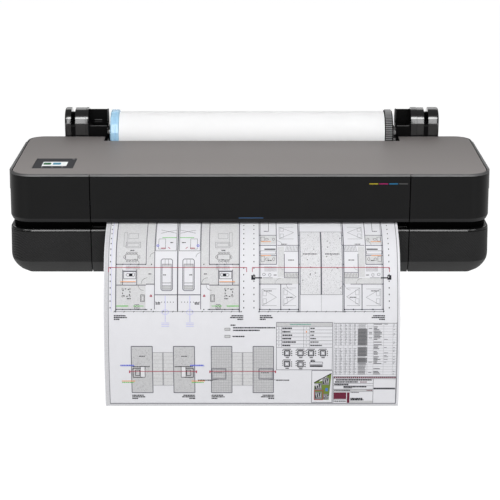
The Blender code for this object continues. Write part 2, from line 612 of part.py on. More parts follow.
# Electronics --------------------------------------------------------------------------
def electronics(board, tin, black, left_lower, right_lower):
    """The main board with its port panel on the left, the power supply with its inlet on the right."""
    front, back, foot = FRONT + 0.180, FRONT + 0.330, WALL + FIT
    rails = [(front, foot), (front + 0.004, foot), (front + 0.004, 0.0120), (back - 0.004, 0.0120),
             (back - 0.004, foot), (back, foot), (back, 0.0140), (front, 0.0140)]
    node("main_board", bar_x(rails, -0.4550, -0.3500), board)
    node("power_supply", box(0.3500, 0.4550, FRONT + 0.170, FRONT + 0.320, 0.0035, 0.0500), tin)
    wall = BACK - WALL
    ports = (-0.4400, -0.3600, 0.0160, 0.0440)
    cut(left_lower, "cut_ports", box(ports[0], ports[1], wall - 0.01, BACK + 0.01, ports[2], ports[3]))
    panel = node("port_panel", box(ports[0] + FIT, ports[1] - FIT, wall - 0.014, BACK - 0.0006,
                                   ports[2] + FIT, ports[3] - FIT), black)
    foot = 0.0230
    sockets = (("network", -0.4320, 0.0135, 0.0115), ("usb", -0.4080, 0.0120, 0.0108))
    for name, left, width, height in sockets:
        socket = box(left, left + width, wall - 0.008, BACK + 0.01, foot, foot + height)
        cut(panel, f"cut_{name}_port", socket)
    inlet = (0.3900, 0.4180, 0.0140, 0.0340)
    cut(right_lower, "cut_inlet", box(inlet[0], inlet[1], wall - 0.01, BACK + 0.01, inlet[2], inlet[3]))
    socket = node("power_inlet", box(inlet[0] + FIT, inlet[1] - FIT, wall - 0.024, BACK - 0.0006,
                                     inlet[2] + FIT, inlet[3] - FIT), black)
    cut(socket, "cut_inlet_socket", box(inlet[0] + 0.0025, inlet[1] - 0.0025, wall - 0.018, BACK + 0.01,
                                        inlet[2] + 0.0025, inlet[3] - 0.0025))


def display(black, glass, follows, follows_button):
    """The touch display: it lies in the top plate and tilts up about its front edge."""
    left, right, front, back = DISPLAY_LEFT, DISPLAY_RIGHT, DISPLAY_FRONT, DISPLAY_BACK
    shell = [(front + 0.0004, TOP - 0.0012), (back, TOP - 0.0012), (back, TOP - 0.0085),
             (back - 0.004, TOP - 0.0105), (front + 0.0050, TOP - 0.0105), (front + 0.0004, TOP - 0.0050)]
    housing = node("display_housing", bar_x(shell, left, right), black, follows)
    pane = node("display_glass", box(left, right, front + 0.0004, back, TOP - 0.0009, TOP + 0.0003),
                glass, follows)
    x, y, radius = right - 0.0065, back - 0.0065, 0.0030
    wide = radius + 0.0004
    openings = ((housing, "cut_button_well", TOP - 0.0040), (pane, "cut_button_hole", TOP - 0.0030))
    for target, name, low in openings:
        hole = cut(target, name, turned_z([(low, wide), (TOP + 0.01, wide)], x, y, SMALL_ROUND))
        following(hole, follows)
    node("power_button", turned_z([(TOP - 0.0030, radius), (TOP + 0.0005, radius)], x, y, SMALL_ROUND),
         black, follows_button)


def main():
    for old in list(bpy.data.objects):
        bpy.data.objects.remove(old)

    charcoal = material("charcoal plastic", (0.030, 0.030, 0.031), 0.45)
    lower_black = material("textured black plastic", (0.035, 0.035, 0.036), 0.55)
    gloss_black = material("gloss black plastic", (0.012, 0.012, 0.013), 0.2)
    taupe = material("taupe plate", (0.22, 0.205, 0.20), 0.5)
    dark = material("dark inner plastic", (0.02, 0.02, 0.02), 0.6)
    blue = material("blue plastic", (0.30, 0.56, 0.88), 0.4)
    paper = material("paper", (0.86, 0.86, 0.88), 0.8)
    card = material("card", (0.42, 0.30, 0.19), 0.9)
    steel = material("steel", (0.55, 0.55, 0.56), 0.3, 1.0)
    rubber = material("rubber", (0.05, 0.05, 0.05), 0.8)
    glass = material("display glass", (0.03, 0.03, 0.035), 0.1)
    light = material("status light", (0.05, 0.14, 0.26), 0.3)
    board = material("circuit board", (0.02, 0.16, 0.07), 0.5)
    clear = material("encoder film", (0.4, 0.4, 0.4), 0.2)
    inks = [("yellow", material("yellow ink", (0.85, 0.70, 0.02), 0.4)),
            ("magenta", material("magenta ink", (0.62, 0.02, 0.25), 0.4)),
            ("cyan", material("cyan ink", (0.02, 0.30, 0.50), 0.4)),
            ("black", material("black ink", (0.06, 0.06, 0.06), 0.4))]

    uppers = [upper_cover(side, charcoal) for side in (-1, 1)]
    lowers = [lower_cover(side, lower_black) for side in (-1, 1)]
    cut(uppers[1], "cut_right_notch",
        box(0.30, MEDIA_X + 0.338, FRONT + 0.318, BACK + 0.02, TOWER_BOTTOM - 0.002, TOP + 0.02))
    top_plate(taupe)
    front_door(charcoal, light, joint("door_axis", 0, DOOR_AXIS_Y, DOOR_AXIS_Z))
    lower_front_panel(lower_black)
    base_pan(dark)
    feet(rubber)

    paper_guides(dark)
    roll_axis = joint("spindle_axis", MEDIA_X, ROLL_Y, ROLL_Z)
    media(paper, card, joint("sheet_axis", MEDIA_X, FRONT, WEB_Z), roll_axis)
    drive_train(rubber, steel, dark, joint("drive_axis", 0, DRIVE_Y, DRIVE_Z),
                joint("feed_motor_axis", 0, MOTOR_Y, MOTOR_Z))
    idle_rollers(rubber, steel, joint("pinch_axis", 0, DRIVE_Y, PINCH_Z),
                 joint("output_axis", 0, OUTPUT_Y, OUTPUT_Z))
    for side in (-1, 1):
        roll_support(side, gloss_black)
    spindle(steel, charcoal, blue, roll_axis)

    carriage(dark, gloss_black, joint("carriage_axis", CARRIAGE_X, ROD_Y, ROD_Z))
    scan_axis(steel, rubber, clear, joint("drive_pulley_axis", -PULLEY_X, PULLEY_Y, BELT_Z),
              joint("idler_pulley_axis", PULLEY_X, PULLEY_Y, BELT_Z))
    ink(inks, dark)
    cutter(dark, steel, joint("cutter_axis", -0.32, FRONT + 0.058, 0.14))
    service_station(dark, lowers[1])

    electronics(board, steel, gloss_black, lowers[0], lowers[1])
    display(gloss_black, glass, joint("display_axis", 0, DISPLAY_FRONT + 0.0004, DISPLAY_AXIS_Z),
            joint("power_button_axis", DISPLAY_RIGHT - 0.0065, DISPLAY_BACK - 0.0065, TOP))

    for made in bpy.data.objects:
        if made.type == "MESH":
            made.data.shade_smooth()
            made.data.set_sharp_from_angle(angle=30 * pi / 180)


main()
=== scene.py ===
"""Looks of the large format plotter: fine shells, roll, printed sheet, display and materials.

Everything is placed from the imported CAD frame: metres, +Z up, -Y the front, +X the operator's right.
"""

import json
from math import cos, pi, radians, sin, sqrt
from random import Random

import bmesh
import bpy
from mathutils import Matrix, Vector

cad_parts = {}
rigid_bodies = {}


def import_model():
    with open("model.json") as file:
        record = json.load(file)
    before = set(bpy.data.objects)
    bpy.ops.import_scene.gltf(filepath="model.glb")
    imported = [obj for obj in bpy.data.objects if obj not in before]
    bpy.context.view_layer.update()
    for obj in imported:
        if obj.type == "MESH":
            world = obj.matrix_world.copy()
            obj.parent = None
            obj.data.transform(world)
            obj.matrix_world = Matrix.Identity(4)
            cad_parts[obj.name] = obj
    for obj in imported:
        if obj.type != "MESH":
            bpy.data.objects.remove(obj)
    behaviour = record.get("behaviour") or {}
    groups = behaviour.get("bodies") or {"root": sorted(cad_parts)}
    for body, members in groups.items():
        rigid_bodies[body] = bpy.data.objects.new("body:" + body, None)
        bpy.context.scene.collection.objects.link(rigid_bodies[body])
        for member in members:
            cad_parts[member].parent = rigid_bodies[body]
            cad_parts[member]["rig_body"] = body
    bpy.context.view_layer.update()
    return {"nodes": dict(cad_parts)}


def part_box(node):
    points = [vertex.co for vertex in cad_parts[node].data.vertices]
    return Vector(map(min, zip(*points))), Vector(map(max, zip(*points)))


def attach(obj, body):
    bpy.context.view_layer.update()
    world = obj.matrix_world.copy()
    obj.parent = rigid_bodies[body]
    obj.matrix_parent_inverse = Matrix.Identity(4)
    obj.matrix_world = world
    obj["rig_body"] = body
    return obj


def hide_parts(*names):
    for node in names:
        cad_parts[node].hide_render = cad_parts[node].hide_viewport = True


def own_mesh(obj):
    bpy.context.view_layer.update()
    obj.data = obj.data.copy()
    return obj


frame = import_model()

# Places read from the frame ----------------------------------------------------------------
FRONT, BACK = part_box("lower_left_cover")[0].y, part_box("lower_left_cover")[1].y
BODY_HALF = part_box("lower_right_cover")[1].x
TRIM_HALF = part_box("upper_right_cover")[1].x
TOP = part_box("top_plate")[1].z
UPPER_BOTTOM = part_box("front_door")[0].z
LOWER_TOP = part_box("lower_front_panel")[1].z
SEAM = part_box("front_door")[1].x + 0.0003
FRONT_RADIUS, BACK_RADIUS = 0.050, 0.040
WALL = 0.003
RIM = 0.005  # how far the wall reaches in under the plate
PLATE_INSET = 0.0064
SEAM_GAP = 0.0009
SEAM_SHIFT = {-1: 0.0018, 1: 0.0}  # the left seam sits a little nearer the middle

ROLL_LOW, ROLL_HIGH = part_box("paper_roll")
ROLL_Y, ROLL_Z = (ROLL_LOW.y + ROLL_HIGH.y) / 2, (ROLL_LOW.z + ROLL_HIGH.z) / 2
ROLL_RADIUS = (ROLL_HIGH.z - ROLL_LOW.z) / 2
MEDIA_X = (ROLL_LOW.x + ROLL_HIGH.x) / 2
PAPER_HALF = (ROLL_HIGH.x - ROLL_LOW.x) / 2
TOWER_LOW, TOWER_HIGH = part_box("roll_support_right")
TOWER_RADIUS = (TOWER_HIGH.y - TOWER_LOW.y) / 2
TOWER_Y, TOWER_Z = (TOWER_HIGH.y + TOWER_LOW.y) / 2, TOWER_HIGH.z - TOWER_RADIUS
DISPLAY_LOW, DISPLAY_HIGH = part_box("display_glass")

CHEEK_X = 0.3727  # the inner face of each tower's cheek
SLIT_X = (0.4035, 0.4120)  # the slit between that cheek and the outer one
NOTCH_HALF, NOTCH_FRONT = 0.338, FRONT + 0.318  # the top's notch for the roll

WEB_Z = 0.1104  # the paper's height inside the body
SHEET_THICK = 0.0004


# Materials ---------------------------------------------------------------------------------
def finish(name, colour, roughness, metallic=0.0, specular=0.5, spread=0.10, mottle=30.0,
           grain=0.0, grain_scale=1400.0, coat=0.0, glow=0.0):
    """A Principled material with mottled colour and roughness and a fine moulded grain."""
    made = bpy.data.materials.new(name)
    made.use_nodes = True
    nodes, links = made.node_tree.nodes, made.node_tree.links
    shader = nodes["Principled BSDF"]
    shader.inputs["Metallic"].default_value = metallic
    shader.inputs["Specular IOR Level"].default_value = specular
    shader.inputs["Coat Weight"].default_value = coat
    place = nodes.new("ShaderNodeTexCoord")
    noise = nodes.new("ShaderNodeTexNoise")
    noise.inputs["Scale"].default_value = mottle
    noise.inputs["Detail"].default_value = 4
    links.new(place.outputs["Object"], noise.inputs["Vector"])
    shade = nodes.new("ShaderNodeValToRGB")
    dark, light = shade.color_ramp.elements
    dark.position, light.position = 0.3, 0.7
    dark.color = (*[c * (1 - spread) for c in colour], 1)
    light.color = (*[min(1, c * (1 + spread)) for c in colour], 1)
    links.new(noise.outputs["Fac"], shade.inputs["Fac"])
    links.new(shade.outputs["Color"], shader.inputs["Base Color"])
    rough = nodes.new("ShaderNodeMapRange")
    rough.inputs["To Min"].default_value = max(0.02, roughness - 0.05)
    rough.inputs["To Max"].default_value = min(1, roughness + 0.05)
    links.new(noise.outputs["Fac"], rough.inputs["Value"])
    links.new(rough.outputs["Result"], shader.inputs["Roughness"])
    if glow:
        shader.inputs["Emission Color"].default_value = (*colour, 1)
        shader.inputs["Emission Strength"].default_value = glow
    if grain:
        fine = nodes.new("ShaderNodeTexNoise")
        fine.inputs["Scale"].default_value = grain_scale
        fine.inputs["Detail"].default_value = 2
        links.new(place.outputs["Object"], fine.inputs["Vector"])
        add_bump(made, fine.outputs["Fac"], grain)
    return made


def add_bump(made, height, strength, distance=0.0003):
    nodes, links = made.node_tree.nodes, made.node_tree.links
    bump = nodes.new("ShaderNodeBump")
    bump.inputs["Strength"].default_value = strength
    bump.inputs["Distance"].default_value = distance
    links.new(height, bump.inputs["Height"])
    links.new(bump.outputs["Normal"], nodes["Principled BSDF"].inputs["Normal"])


def add_stripes(made, direction, pitch, strength, distance=0.0003, tone=0.0):
    """Moulded or brushed lines across a direction, as bump and as a slight change of tone."""
    nodes, links = made.node_tree.nodes, made.node_tree.links
    place = nodes.new("ShaderNodeTexCoord")
    along = nodes.new("ShaderNodeVectorMath")
    along.operation = "DOT_PRODUCT"
    along.inputs[1].default_value = [c * 2 * pi / pitch for c in Vector(direction).normalized()]
    links.new(place.outputs["Object"], along.inputs[0])
    wave = nodes.new("ShaderNodeMath")
    wave.operation = "SINE"
    links.new(along.outputs["Value"], wave.inputs[0])
    add_bump(made, wave.outputs[0], strength, distance)
    if tone:
        shader = nodes["Principled BSDF"]
        before = shader.inputs["Base Color"].links[0].from_socket
        level = nodes.new("ShaderNodeMapRange")
        level.inputs["From Min"].default_value = -1
        level.inputs["To Min"].default_value = 1 - tone
        level.inputs["To Max"].default_value = 1 + tone
        links.new(wave.outputs[0], level.inputs["Value"])
        mixed = nodes.new("ShaderNodeVectorMath")
        mixed.operation = "SCALE"
        links.new(before, mixed.inputs[0])
        links.new(level.outputs["Result"], mixed.inputs["Scale"])
        links.new(mixed.outputs[0], shader.inputs["Base Color"])


def make_materials():
    m = {
        "charcoal": finish("charcoal moulding", (0.0032, 0.0032, 0.0034), 0.42, specular=0.15, grain=0.06),
        # edge: the charcoal moulding made much lighter, a painted highlight along the top chamfer; the side
        # trims and the cradle's rim, post and ribs use it too.
        "edge": finish("charcoal edge lightened as painted highlight", (0.065, 0.065, 0.066), 0.38, specular=0.9, spread=0.04),
        # lip: the same charcoal made lighter along the upper body's bottom rounding, a painted reflection of
        # the floor.
        "lip": finish("lightened charcoal for painted lip reflection", (0.012, 0.012, 0.0125), 0.5, specular=0.2, grain=0.1),
        "weave": finish("textured black moulding", (0.0145, 0.0145, 0.0147), 0.55, specular=0.15),
        # bevel: the lower body's black moulding made lighter along its bottom rounding, a painted reflection
        # of the floor.
        "bevel": finish("lightened black for painted bevel reflection", (0.026, 0.026, 0.026), 0.55, specular=0.25),
        "deck": finish("gloss black deck", (0.004, 0.004, 0.0042), 0.16, specular=0.9, spread=0.05),
        "recess": finish("recess black", (0.0015, 0.0015, 0.0015), 0.8, specular=0.02),
        "gloss": finish("gloss black moulding", (0.003, 0.003, 0.0031), 0.15, specular=0.9, grain=0.02,
                        coat=0.6),
        # cradle: a matte black darker than the gloss moulding it belongs to, painted shade inside the cradles
        # and in the slits.
        "cradle": finish("darkened matte black for painted cradle shade", (0.0020, 0.0020, 0.0021), 0.40, specular=0.10, grain=0.03),
        # hub: a light grey for the black hub's ribs, painted highlights along them.
        "hub": finish("grey for painted rib highlights", (0.30, 0.30, 0.305), 0.40, specular=0.6, grain=0.05),
        "taupe": finish("taupe plate", (0.208, 0.190, 0.184), 0.50, specular=0.25, spread=0.03, mottle=9,
                        grain=0.10),
        "dark": finish("dark inner moulding", (0.014, 0.014, 0.014), 0.60, specular=0.3, grain=0.15),
        "blue": finish("light blue hub", (0.45, 0.74, 0.98), 0.16, specular=1.0, spread=0.03),
        "paper": finish("plotter paper", (0.71, 0.71, 0.74), 0.85, specular=0.15, spread=0.012, mottle=60,
                        grain=0.25, grain_scale=900),
        # The rolled paper also glows a little: painted light that brightens the roll.
        "roll_paper": finish("paper on roll with painted glow", (0.86, 0.86, 0.865), 0.80, specular=0.2, spread=0.006, mottle=14,
                             glow=0.15, grain=0.12, grain_scale=900),
        "card": finish("card tube", (0.40, 0.29, 0.19), 0.9, specular=0.2, spread=0.15, mottle=220,
                       grain=0.4),
        "steel": finish("ground steel", (0.56, 0.56, 0.57), 0.22, metallic=1.0, spread=0.06, mottle=80),
        "light_metal": finish("folded light metal", (0.50, 0.50, 0.51), 0.38, metallic=1.0, spread=0.08,
                              mottle=50, grain=0.08),
        "rubber": finish("dark rubber", (0.022, 0.022, 0.022), 0.85, specular=0.2, spread=0.2, mottle=120,
                         grain=0.5, grain_scale=800),
        "bezel": finish("display bezel", (0.040, 0.040, 0.045), 0.50, specular=0.03, spread=0.05, grain=0.03),
        "screen": finish("display screen", (0.82, 0.84, 0.84), 0.4, specular=0.2, spread=0.01, glow=0.12),
        "icon_green": finish("green icon", (0.006, 0.12, 0.035), 0.5, specular=0.1, spread=0.05),
        "icon_blue": finish("blue icon", (0.06, 0.28, 0.42), 0.5, specular=0.1, spread=0.05),
        "light": finish("status light", (0.018, 0.055, 0.125), 0.25, specular=0.4, spread=0.05, glow=0.3),
        "board": finish("circuit board", (0.012, 0.13, 0.055), 0.45, spread=0.2, mottle=160, grain=0.2),
        "film": finish("encoder film", (0.35, 0.35, 0.36), 0.15, specular=0.6, spread=0.05),
        "label": finish("blank label", (0.55, 0.55, 0.56), 0.5, spread=0.03),
        "yellow": finish("yellow ink", (0.80, 0.62, 0.02), 0.42, spread=0.05, grain=0.1),
        "magenta": finish("magenta ink", (0.55, 0.01, 0.20), 0.42, spread=0.05, grain=0.1),
        "cyan": finish("cyan ink", (0.01, 0.25, 0.50), 0.42, spread=0.05, grain=0.1),
        "black_ink": finish("black ink", (0.05, 0.05, 0.05), 0.42, spread=0.05, grain=0.1),
    }
    add_stripes(m["weave"], (1, 1, 1), 0.0034, 0.55, 0.0005, tone=0.16)
    add_stripes(m["steel"], (1, 0, 0), 0.0006, 0.15, 0.00005)
    add_stripes(m["film"], (1, 0, 0), 0.0008, 0.0, 0.0001, tone=0.35)
    add_stripes(m["taupe"], (0, 1, 0), 0.0011, 0.05, 0.00005, tone=0.006)
    return m


MATERIALS = make_materials()
SLOTS = {"edge": "charcoal", "lip": "charcoal", "weave": "textured_black", "bevel": "textured_black",
         "deck": "gloss_black", "recess": "dark", "gloss": "gloss_black", "hub": "dark",
         "roll_paper": "paper", "bezel": "glass", "screen": "glass", "icon_green": "light",
         "icon_blue": "light", "label": "paper"}


# Mesh helpers ------------------------------------------------------------------------------
def linked(name, data):
    """A new object, linked to the scene."""
    made = bpy.data.objects.new(name, data)
    bpy.context.scene.collection.objects.link(made)
    return made


def piece(name, mesh, body, finishes, replaces=(), bevel=0.0, angle=35, smooth=32):
    """A shown object from a bmesh in the row frame. Faces keep their material index into finishes."""
    finishes = [finishes] if isinstance(finishes, str) else list(finishes)
    bmesh.ops.recalc_face_normals(mesh, faces=mesh.faces)
    data = bpy.data.meshes.new(name)
    mesh.to_mesh(data)
    mesh.free()
    made = linked(name, data)
    for finish_name in finishes:
        data.materials.append(MATERIALS[finish_name])
    if bevel:
        rounding = made.modifiers.new("rounding", "BEVEL")
        rounding.width, rounding.segments = bevel, 2
        rounding.limit_method, rounding.angle_limit = "ANGLE", radians(angle)
        rounding.use_clamp_overlap = True
        settle(made)
    made.data.shade_smooth()
    made.data.set_sharp_from_angle(angle=radians(smooth))
    weighted = made.modifiers.new("even normals", "WEIGHTED_NORMAL")
    weighted.keep_sharp = True
    settle(made)
    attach(made, body)
    if replaces:
        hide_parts(*([replaces] if isinstance(replaces, str) else replaces))
    return made


def settle(made):
    """Applies the object's modifiers to its mesh."""
    bpy.context.view_layer.update()
    evaluated = made.evaluated_get(bpy.context.evaluated_depsgraph_get())
    data = bpy.data.meshes.new_from_object(evaluated)
    made.modifiers.clear()
    made.data = data


def boolean(target, tool):
    """The bmesh that is left of target after tool is cut from it."""
    objects = []
    for mesh in (target, tool):
        bmesh.ops.recalc_face_normals(mesh, faces=mesh.faces)
        data = bpy.data.meshes.new("work")
        mesh.to_mesh(data)
        mesh.free()
        for _ in range(4):
            data.materials.append(None)
        objects.append(linked("work", data))
    cut = objects[0].modifiers.new("cut", "BOOLEAN")
    cut.object, cut.operation = objects[1], "DIFFERENCE"
    settle(objects[0])
    result = bmesh.new()
    result.from_mesh(objects[0].data)
    bmesh.ops.dissolve_degenerate(result, dist=1e-6, edges=result.edges)
    for work in objects:
        bpy.data.objects.remove(work)
    return result


def loft(rings, closed=True, finishes=None):
    """A surface through rings of equally many points; finishes gives each band's material index."""
    mesh = bmesh.new()
    loops = [[mesh.verts.new(point) for point in ring] for ring in rings]
    for k, (low, high) in enumerate(zip(loops, loops[1:])):
        for i in range(len(low)):
            j = (i + 1) % len(low)
            face = mesh.faces.new((low[i], low[j], high[j], high[i]))
            if finishes:
                face.material_index = finishes[k]
    if closed:
        for loop, index in ((loops[0][::-1], 0), (loops[-1], -1)):
            mesh.faces.new(loop).material_index = finishes[index] if finishes else 0
    return mesh


def bar_x(profile, left, right, edge=0.0, steps=3):
    """A (y, z) profile extruded along X, with its ends rounded over by edge."""
    if not edge:
        return loft([[(x, y, z) for y, z in profile] for x in (left, right)])
    turn = [pi / 2 * k / steps for k in range(steps + 1)]
    levels = [(left + edge * (1 - cos(a)), edge * (1 - sin(a))) for a in turn]
    levels += [(right - edge * (1 - cos(a)), edge * (1 - sin(a))) for a in turn[::-1]]
    return loft([[(x, *point) for point in shrunk(profile, inset)] for x, inset in levels])


def shrunk(profile, inset):
    """A closed 2-D outline moved inwards by inset along its corner normals."""
    points = [Vector(p) for p in profile]
    count = len(points)
    area = sum(points[i].x * points[(i + 1) % count].y - points[(i + 1) % count].x * points[i].y
               for i in range(count))
    turn = 1 if area > 0 else -1
    moved = []
    for i in range(count):
        before = (points[i] - points[i - 1]).normalized()
        after = (points[(i + 1) % count] - points[i]).normalized()
        inward = Vector((-(before.y + after.y), before.x + after.x)) * turn
        share = inward.length / 2
        if share < 0.2:
            moved.append(tuple(points[i]))
            continue
        moved.append(tuple(points[i] + inward.normalized() * inset / share))
    return moved


def slab_y(outline, front, back):
    """An (x, z) outline drawn out along Y."""
    return loft([[(x, y, z) for x, z in outline] for y in (front, back)])


def slab_z(outline, low, high):
    """An (x, y) outline drawn out along Z."""
    return loft([[(x, y, z) for x, y in outline] for z in (low, high)])


def box(left, right, front, back, low, high):
    return slab_z([(left, front), (right, front), (right, back), (left, back)], low, high)


def arc(centre, radius, start, end, steps):
    return [(centre[0] + radius * cos(start + (end - start) * i / steps),
             centre[1] + radius * sin(start + (end - start) * i / steps)) for i in range(steps + 1)]


def circle(centre, radius, segments, start=0.0):
    return arc(centre, radius, start, start + 2 * pi, segments)[:-1]


def rounded_rectangle(left, right, low, high, radius, steps=5):
    corners = ((right - radius, high - radius, 0), (left + radius, high - radius, pi / 2),
               (left + radius, low + radius, pi), (right - radius, low + radius, 3 * pi / 2))
    return [p for x, y, a in corners for p in arc((x, y), radius, a, a + pi / 2, steps)]


def turned_x(steps, y, z, segments, start=0.0):
    return loft([[(x, *p) for p in circle((y, z), radius, segments, start)] for x, radius in steps])


def ring_x(steps, y, z, segments):
    """A turned sleeve about X: its closed (x, radius) section runs round."""
    mesh = bmesh.new()
    loops = [[mesh.verts.new((x, *p)) for p in circle((y, z), radius, segments)] for x, radius in steps]
    for k, loop in enumerate(loops):
        after = loops[(k + 1) % len(loops)]
        for i in range(segments):
            j = (i + 1) % segments
            mesh.faces.new((loop[i], loop[j], after[j], after[i]))
    return mesh


def turned_z(steps, x, y, segments):
    return loft([[(*p, z) for p in circle((x, y), radius, segments)] for z, radius in steps])


def refined(node, finish_name, bevel=0.0006):
    """A CAD node's own shape with its edges rounded."""
    source = frame["nodes"][node]
    mesh = bmesh.new()
    mesh.from_mesh(source.data)
    bmesh.ops.remove_doubles(mesh, verts=mesh.verts, dist=1e-6)
    bmesh.ops.dissolve_limit(mesh, angle_limit=radians(1), verts=mesh.verts, edges=mesh.edges)
    for face in mesh.faces:
        face.material_index = 0
    return piece(f"{node}_fine", mesh, source["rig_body"], finish_name, node, bevel, angle=32)


# Housing -----------------------------------------------------------------------------------
def draft(y, z):
    """How far the mouldings' ends lean out: a little towards the back and towards the bottom."""
    return 0.0014 + max(0.016 * max(0, y - FRONT - 0.06), 0.026 * max(0, TOP - 0.04 - z))


def end_outline(side, inner_x, inset, front_inset, back_inset, steps=18):
    """The plan of one end of the body, with a small round at its seam."""
    half, front, back = BODY_HALF - inset, FRONT + front_inset, BACK - back_inset
    front_radius, back_radius = max(FRONT_RADIUS - inset, 0.006), max(BACK_RADIUS - inset, 0.006)
    ease = 0.0005
    outline = [(inner_x, front + ease), (inner_x + ease, front)]
    outline += arc((half - front_radius, front + front_radius), front_radius, -pi / 2, 0, steps)
    outline += arc((half - back_radius, back - back_radius), back_radius, 0, pi / 2, steps)
    outline += [(inner_x + ease, back), (inner_x, back - ease)]
    return [(side * x, y) for x, y in outline]


def end_solid(side, inner_x, levels, finishes=None):
    """A lofted end of the body from (z, side, front, back inset) levels."""
    rings = []
    for z, *insets in levels:
        outline = end_outline(side, inner_x, *insets)
        rings.append([(x + side * draft(y, z) if abs(x) > 0.40 else x, y, z) for x, y in outline])
    return loft(rings, finishes=finishes)


def even(z, inset):
    """A level with one inset all round."""
    return z, inset, inset, inset


SHELL_FINISHES = ("charcoal", "edge", "lip", "recess")
BASE_FINISHES = ("weave", "bevel", "deck", "recess")
# Finish 1, the lightened edge, paints a highlight along the top chamfer.
# Finish 2, the lightened lip, paints a floor reflection along the bottom rounding.
UPPER_SECTION = [  # height, inset, finish of the band above
    (UPPER_BOTTOM + 0.0006, 0.0044, 2), (UPPER_BOTTOM + 0.0012, 0.0037, 2),
    (UPPER_BOTTOM + 0.0086, 0.0003, 0), (UPPER_BOTTOM + 0.0098, 0.0, 0), (TOP - 0.0046, 0.0, 0),
    (TOP - 0.0041, 0.0001, 1), (TOP - 0.0033, 0.0006, 1), (TOP - 0.0007, 0.0031, 1), (TOP, 0.0042, 1)]


def upper_shell(side, name):
    waist = (0.006, 0.018, 0.018)
    levels = [(LOWER_TOP + 0.0003, *waist), (UPPER_BOTTOM, *waist)]
    levels += [even(z, inset) for z, inset, _ in UPPER_SECTION]
    finishes = [3, 3] + [index for *_, index in UPPER_SECTION[:-1]]
    outer = end_solid(side, SEAM - SEAM_SHIFT[side] + SEAM_GAP, levels, finishes)
    waist_inside = [inset + WALL for inset in waist]
    cavity = [(LOWER_TOP - 0.01, *waist_inside), (UPPER_BOTTOM + WALL, *waist_inside),
              even(UPPER_BOTTOM + 0.0005 + WALL, RIM), even(TOP + 0.01, RIM)]
    mesh = boolean(outer, end_solid(side, SEAM - 0.02, cavity))
    if side > 0:
        mesh = boolean(mesh, box(0.30, MEDIA_X + NOTCH_HALF, NOTCH_FRONT, BACK + 0.02, 0.148, TOP + 0.02))
    piece(f"upper_shell_{name}", mesh, "chassis", SHELL_FINISHES, f"upper_{name}_cover")
    trim = [(FRONT + 0.054, TOP - 0.044), (FRONT + 0.324, TOP - 0.036),
            (FRONT + 0.320, TOP - 0.002), (FRONT + 0.060, TOP - 0.002)]
    mesh = bar_x(trim, *sorted((side * (BODY_HALF - 0.002), side * TRIM_HALF)))
    for vert in mesh.verts:
        back_end = vert.co.y > FRONT + 0.2 and abs(vert.co.x) > BODY_HALF
        vert.co.x += side * (draft(vert.co.y, TOP) - (0.0022 if back_end else 0.0001))
    # The side trims take the same lightened edge finish.
    piece(f"side_trim_{name}", mesh, "chassis", "edge", bevel=0.0011)


def front_door():
    """The visor, on the same section as the shells, with its status light and four colour marks."""
    half = SEAM - SEAM_GAP
    outside = [(FRONT + inset, z) for z, inset, _ in UPPER_SECTION]
    profile = [*outside, (FRONT + 0.0045, TOP), (FRONT + 0.0045, TOP - 0.004), (FRONT + 0.003, TOP - 0.007),
               (FRONT + 0.003, UPPER_BOTTOM + 0.010), (FRONT + 0.0062, UPPER_BOTTOM + 0.0028),
               (FRONT + 0.0110, UPPER_BOTTOM + 0.0028), (FRONT + 0.0110, UPPER_BOTTOM),
               (FRONT + 0.0050, UPPER_BOTTOM)]
    mesh = bar_x(profile, SEAM_SHIFT[-1] - half, half, edge=0.0005, steps=2)
    finishes = [index for *_, index in UPPER_SECTION]
    # Front faces take the shells' bands: the lightened edge is a painted highlight, the lightened lip a
    # painted floor reflection.
    for face in mesh.faces:
        middle = face.calc_center_median()
        if len(face.verts) == 4 and middle.y < FRONT + 0.0043:
            bands = [k for k, (z, _, _) in enumerate(UPPER_SECTION) if z <= middle.z]
            face.material_index = finishes[bands[-1]] if bands else 2
    light_low, light_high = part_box("status_light")
    slot = box(light_low.x - 0.0003, light_high.x + 0.0003, FRONT - 0.01, FRONT + 0.0022,
               light_low.z - 0.0003, light_high.z + 0.0003)
    piece("front_visor", boolean(mesh, slot), "door", SHELL_FINISHES, "front_door")
    outline = rounded_rectangle(light_low.x, light_high.x, light_low.z, light_high.z, 0.0008)
    bar = slab_y(outline, FRONT + 0.0002, FRONT + 0.0021)
    piece("status_light_bar", bar, "door", "light", "status_light")
    for k, colour in enumerate(MARKS):
        left = 0.2490 + 0.0207 * k
        mark = rounded_rectangle(left, left + 0.0185, TOP - 0.0209, TOP - 0.0186, 0.0003, 3)
        piece(f"colour_mark_{k + 1}", slab_y(mark, FRONT - 0.00012, FRONT + 0.0002), "door", f"mark_{colour}")


def base_inset(height):
    """How far the lower body's side and front walls lean in at a height, as (side, front)."""
    up = min(1, height / 0.037)
    return 0.040 * (1 - sqrt(1 - (1 - up) ** 2)), 0.014 * max(0, 1 - height / 0.026) ** 1.25


BASE_HEIGHTS = [*(0.026 * k / 6 for k in range(6)), 0.0257, 0.0263]
DECK_SECTION = [(0.0056, 0.0), (0.0052, 0.0012), (0.0044, 0.0012), (0.0040, 0.0), (0.0030, 0.0001),
                (0.0015, 0.0008), (0.0004, 0.0021), (0.0, 0.0040)]  # depth below the deck, inset


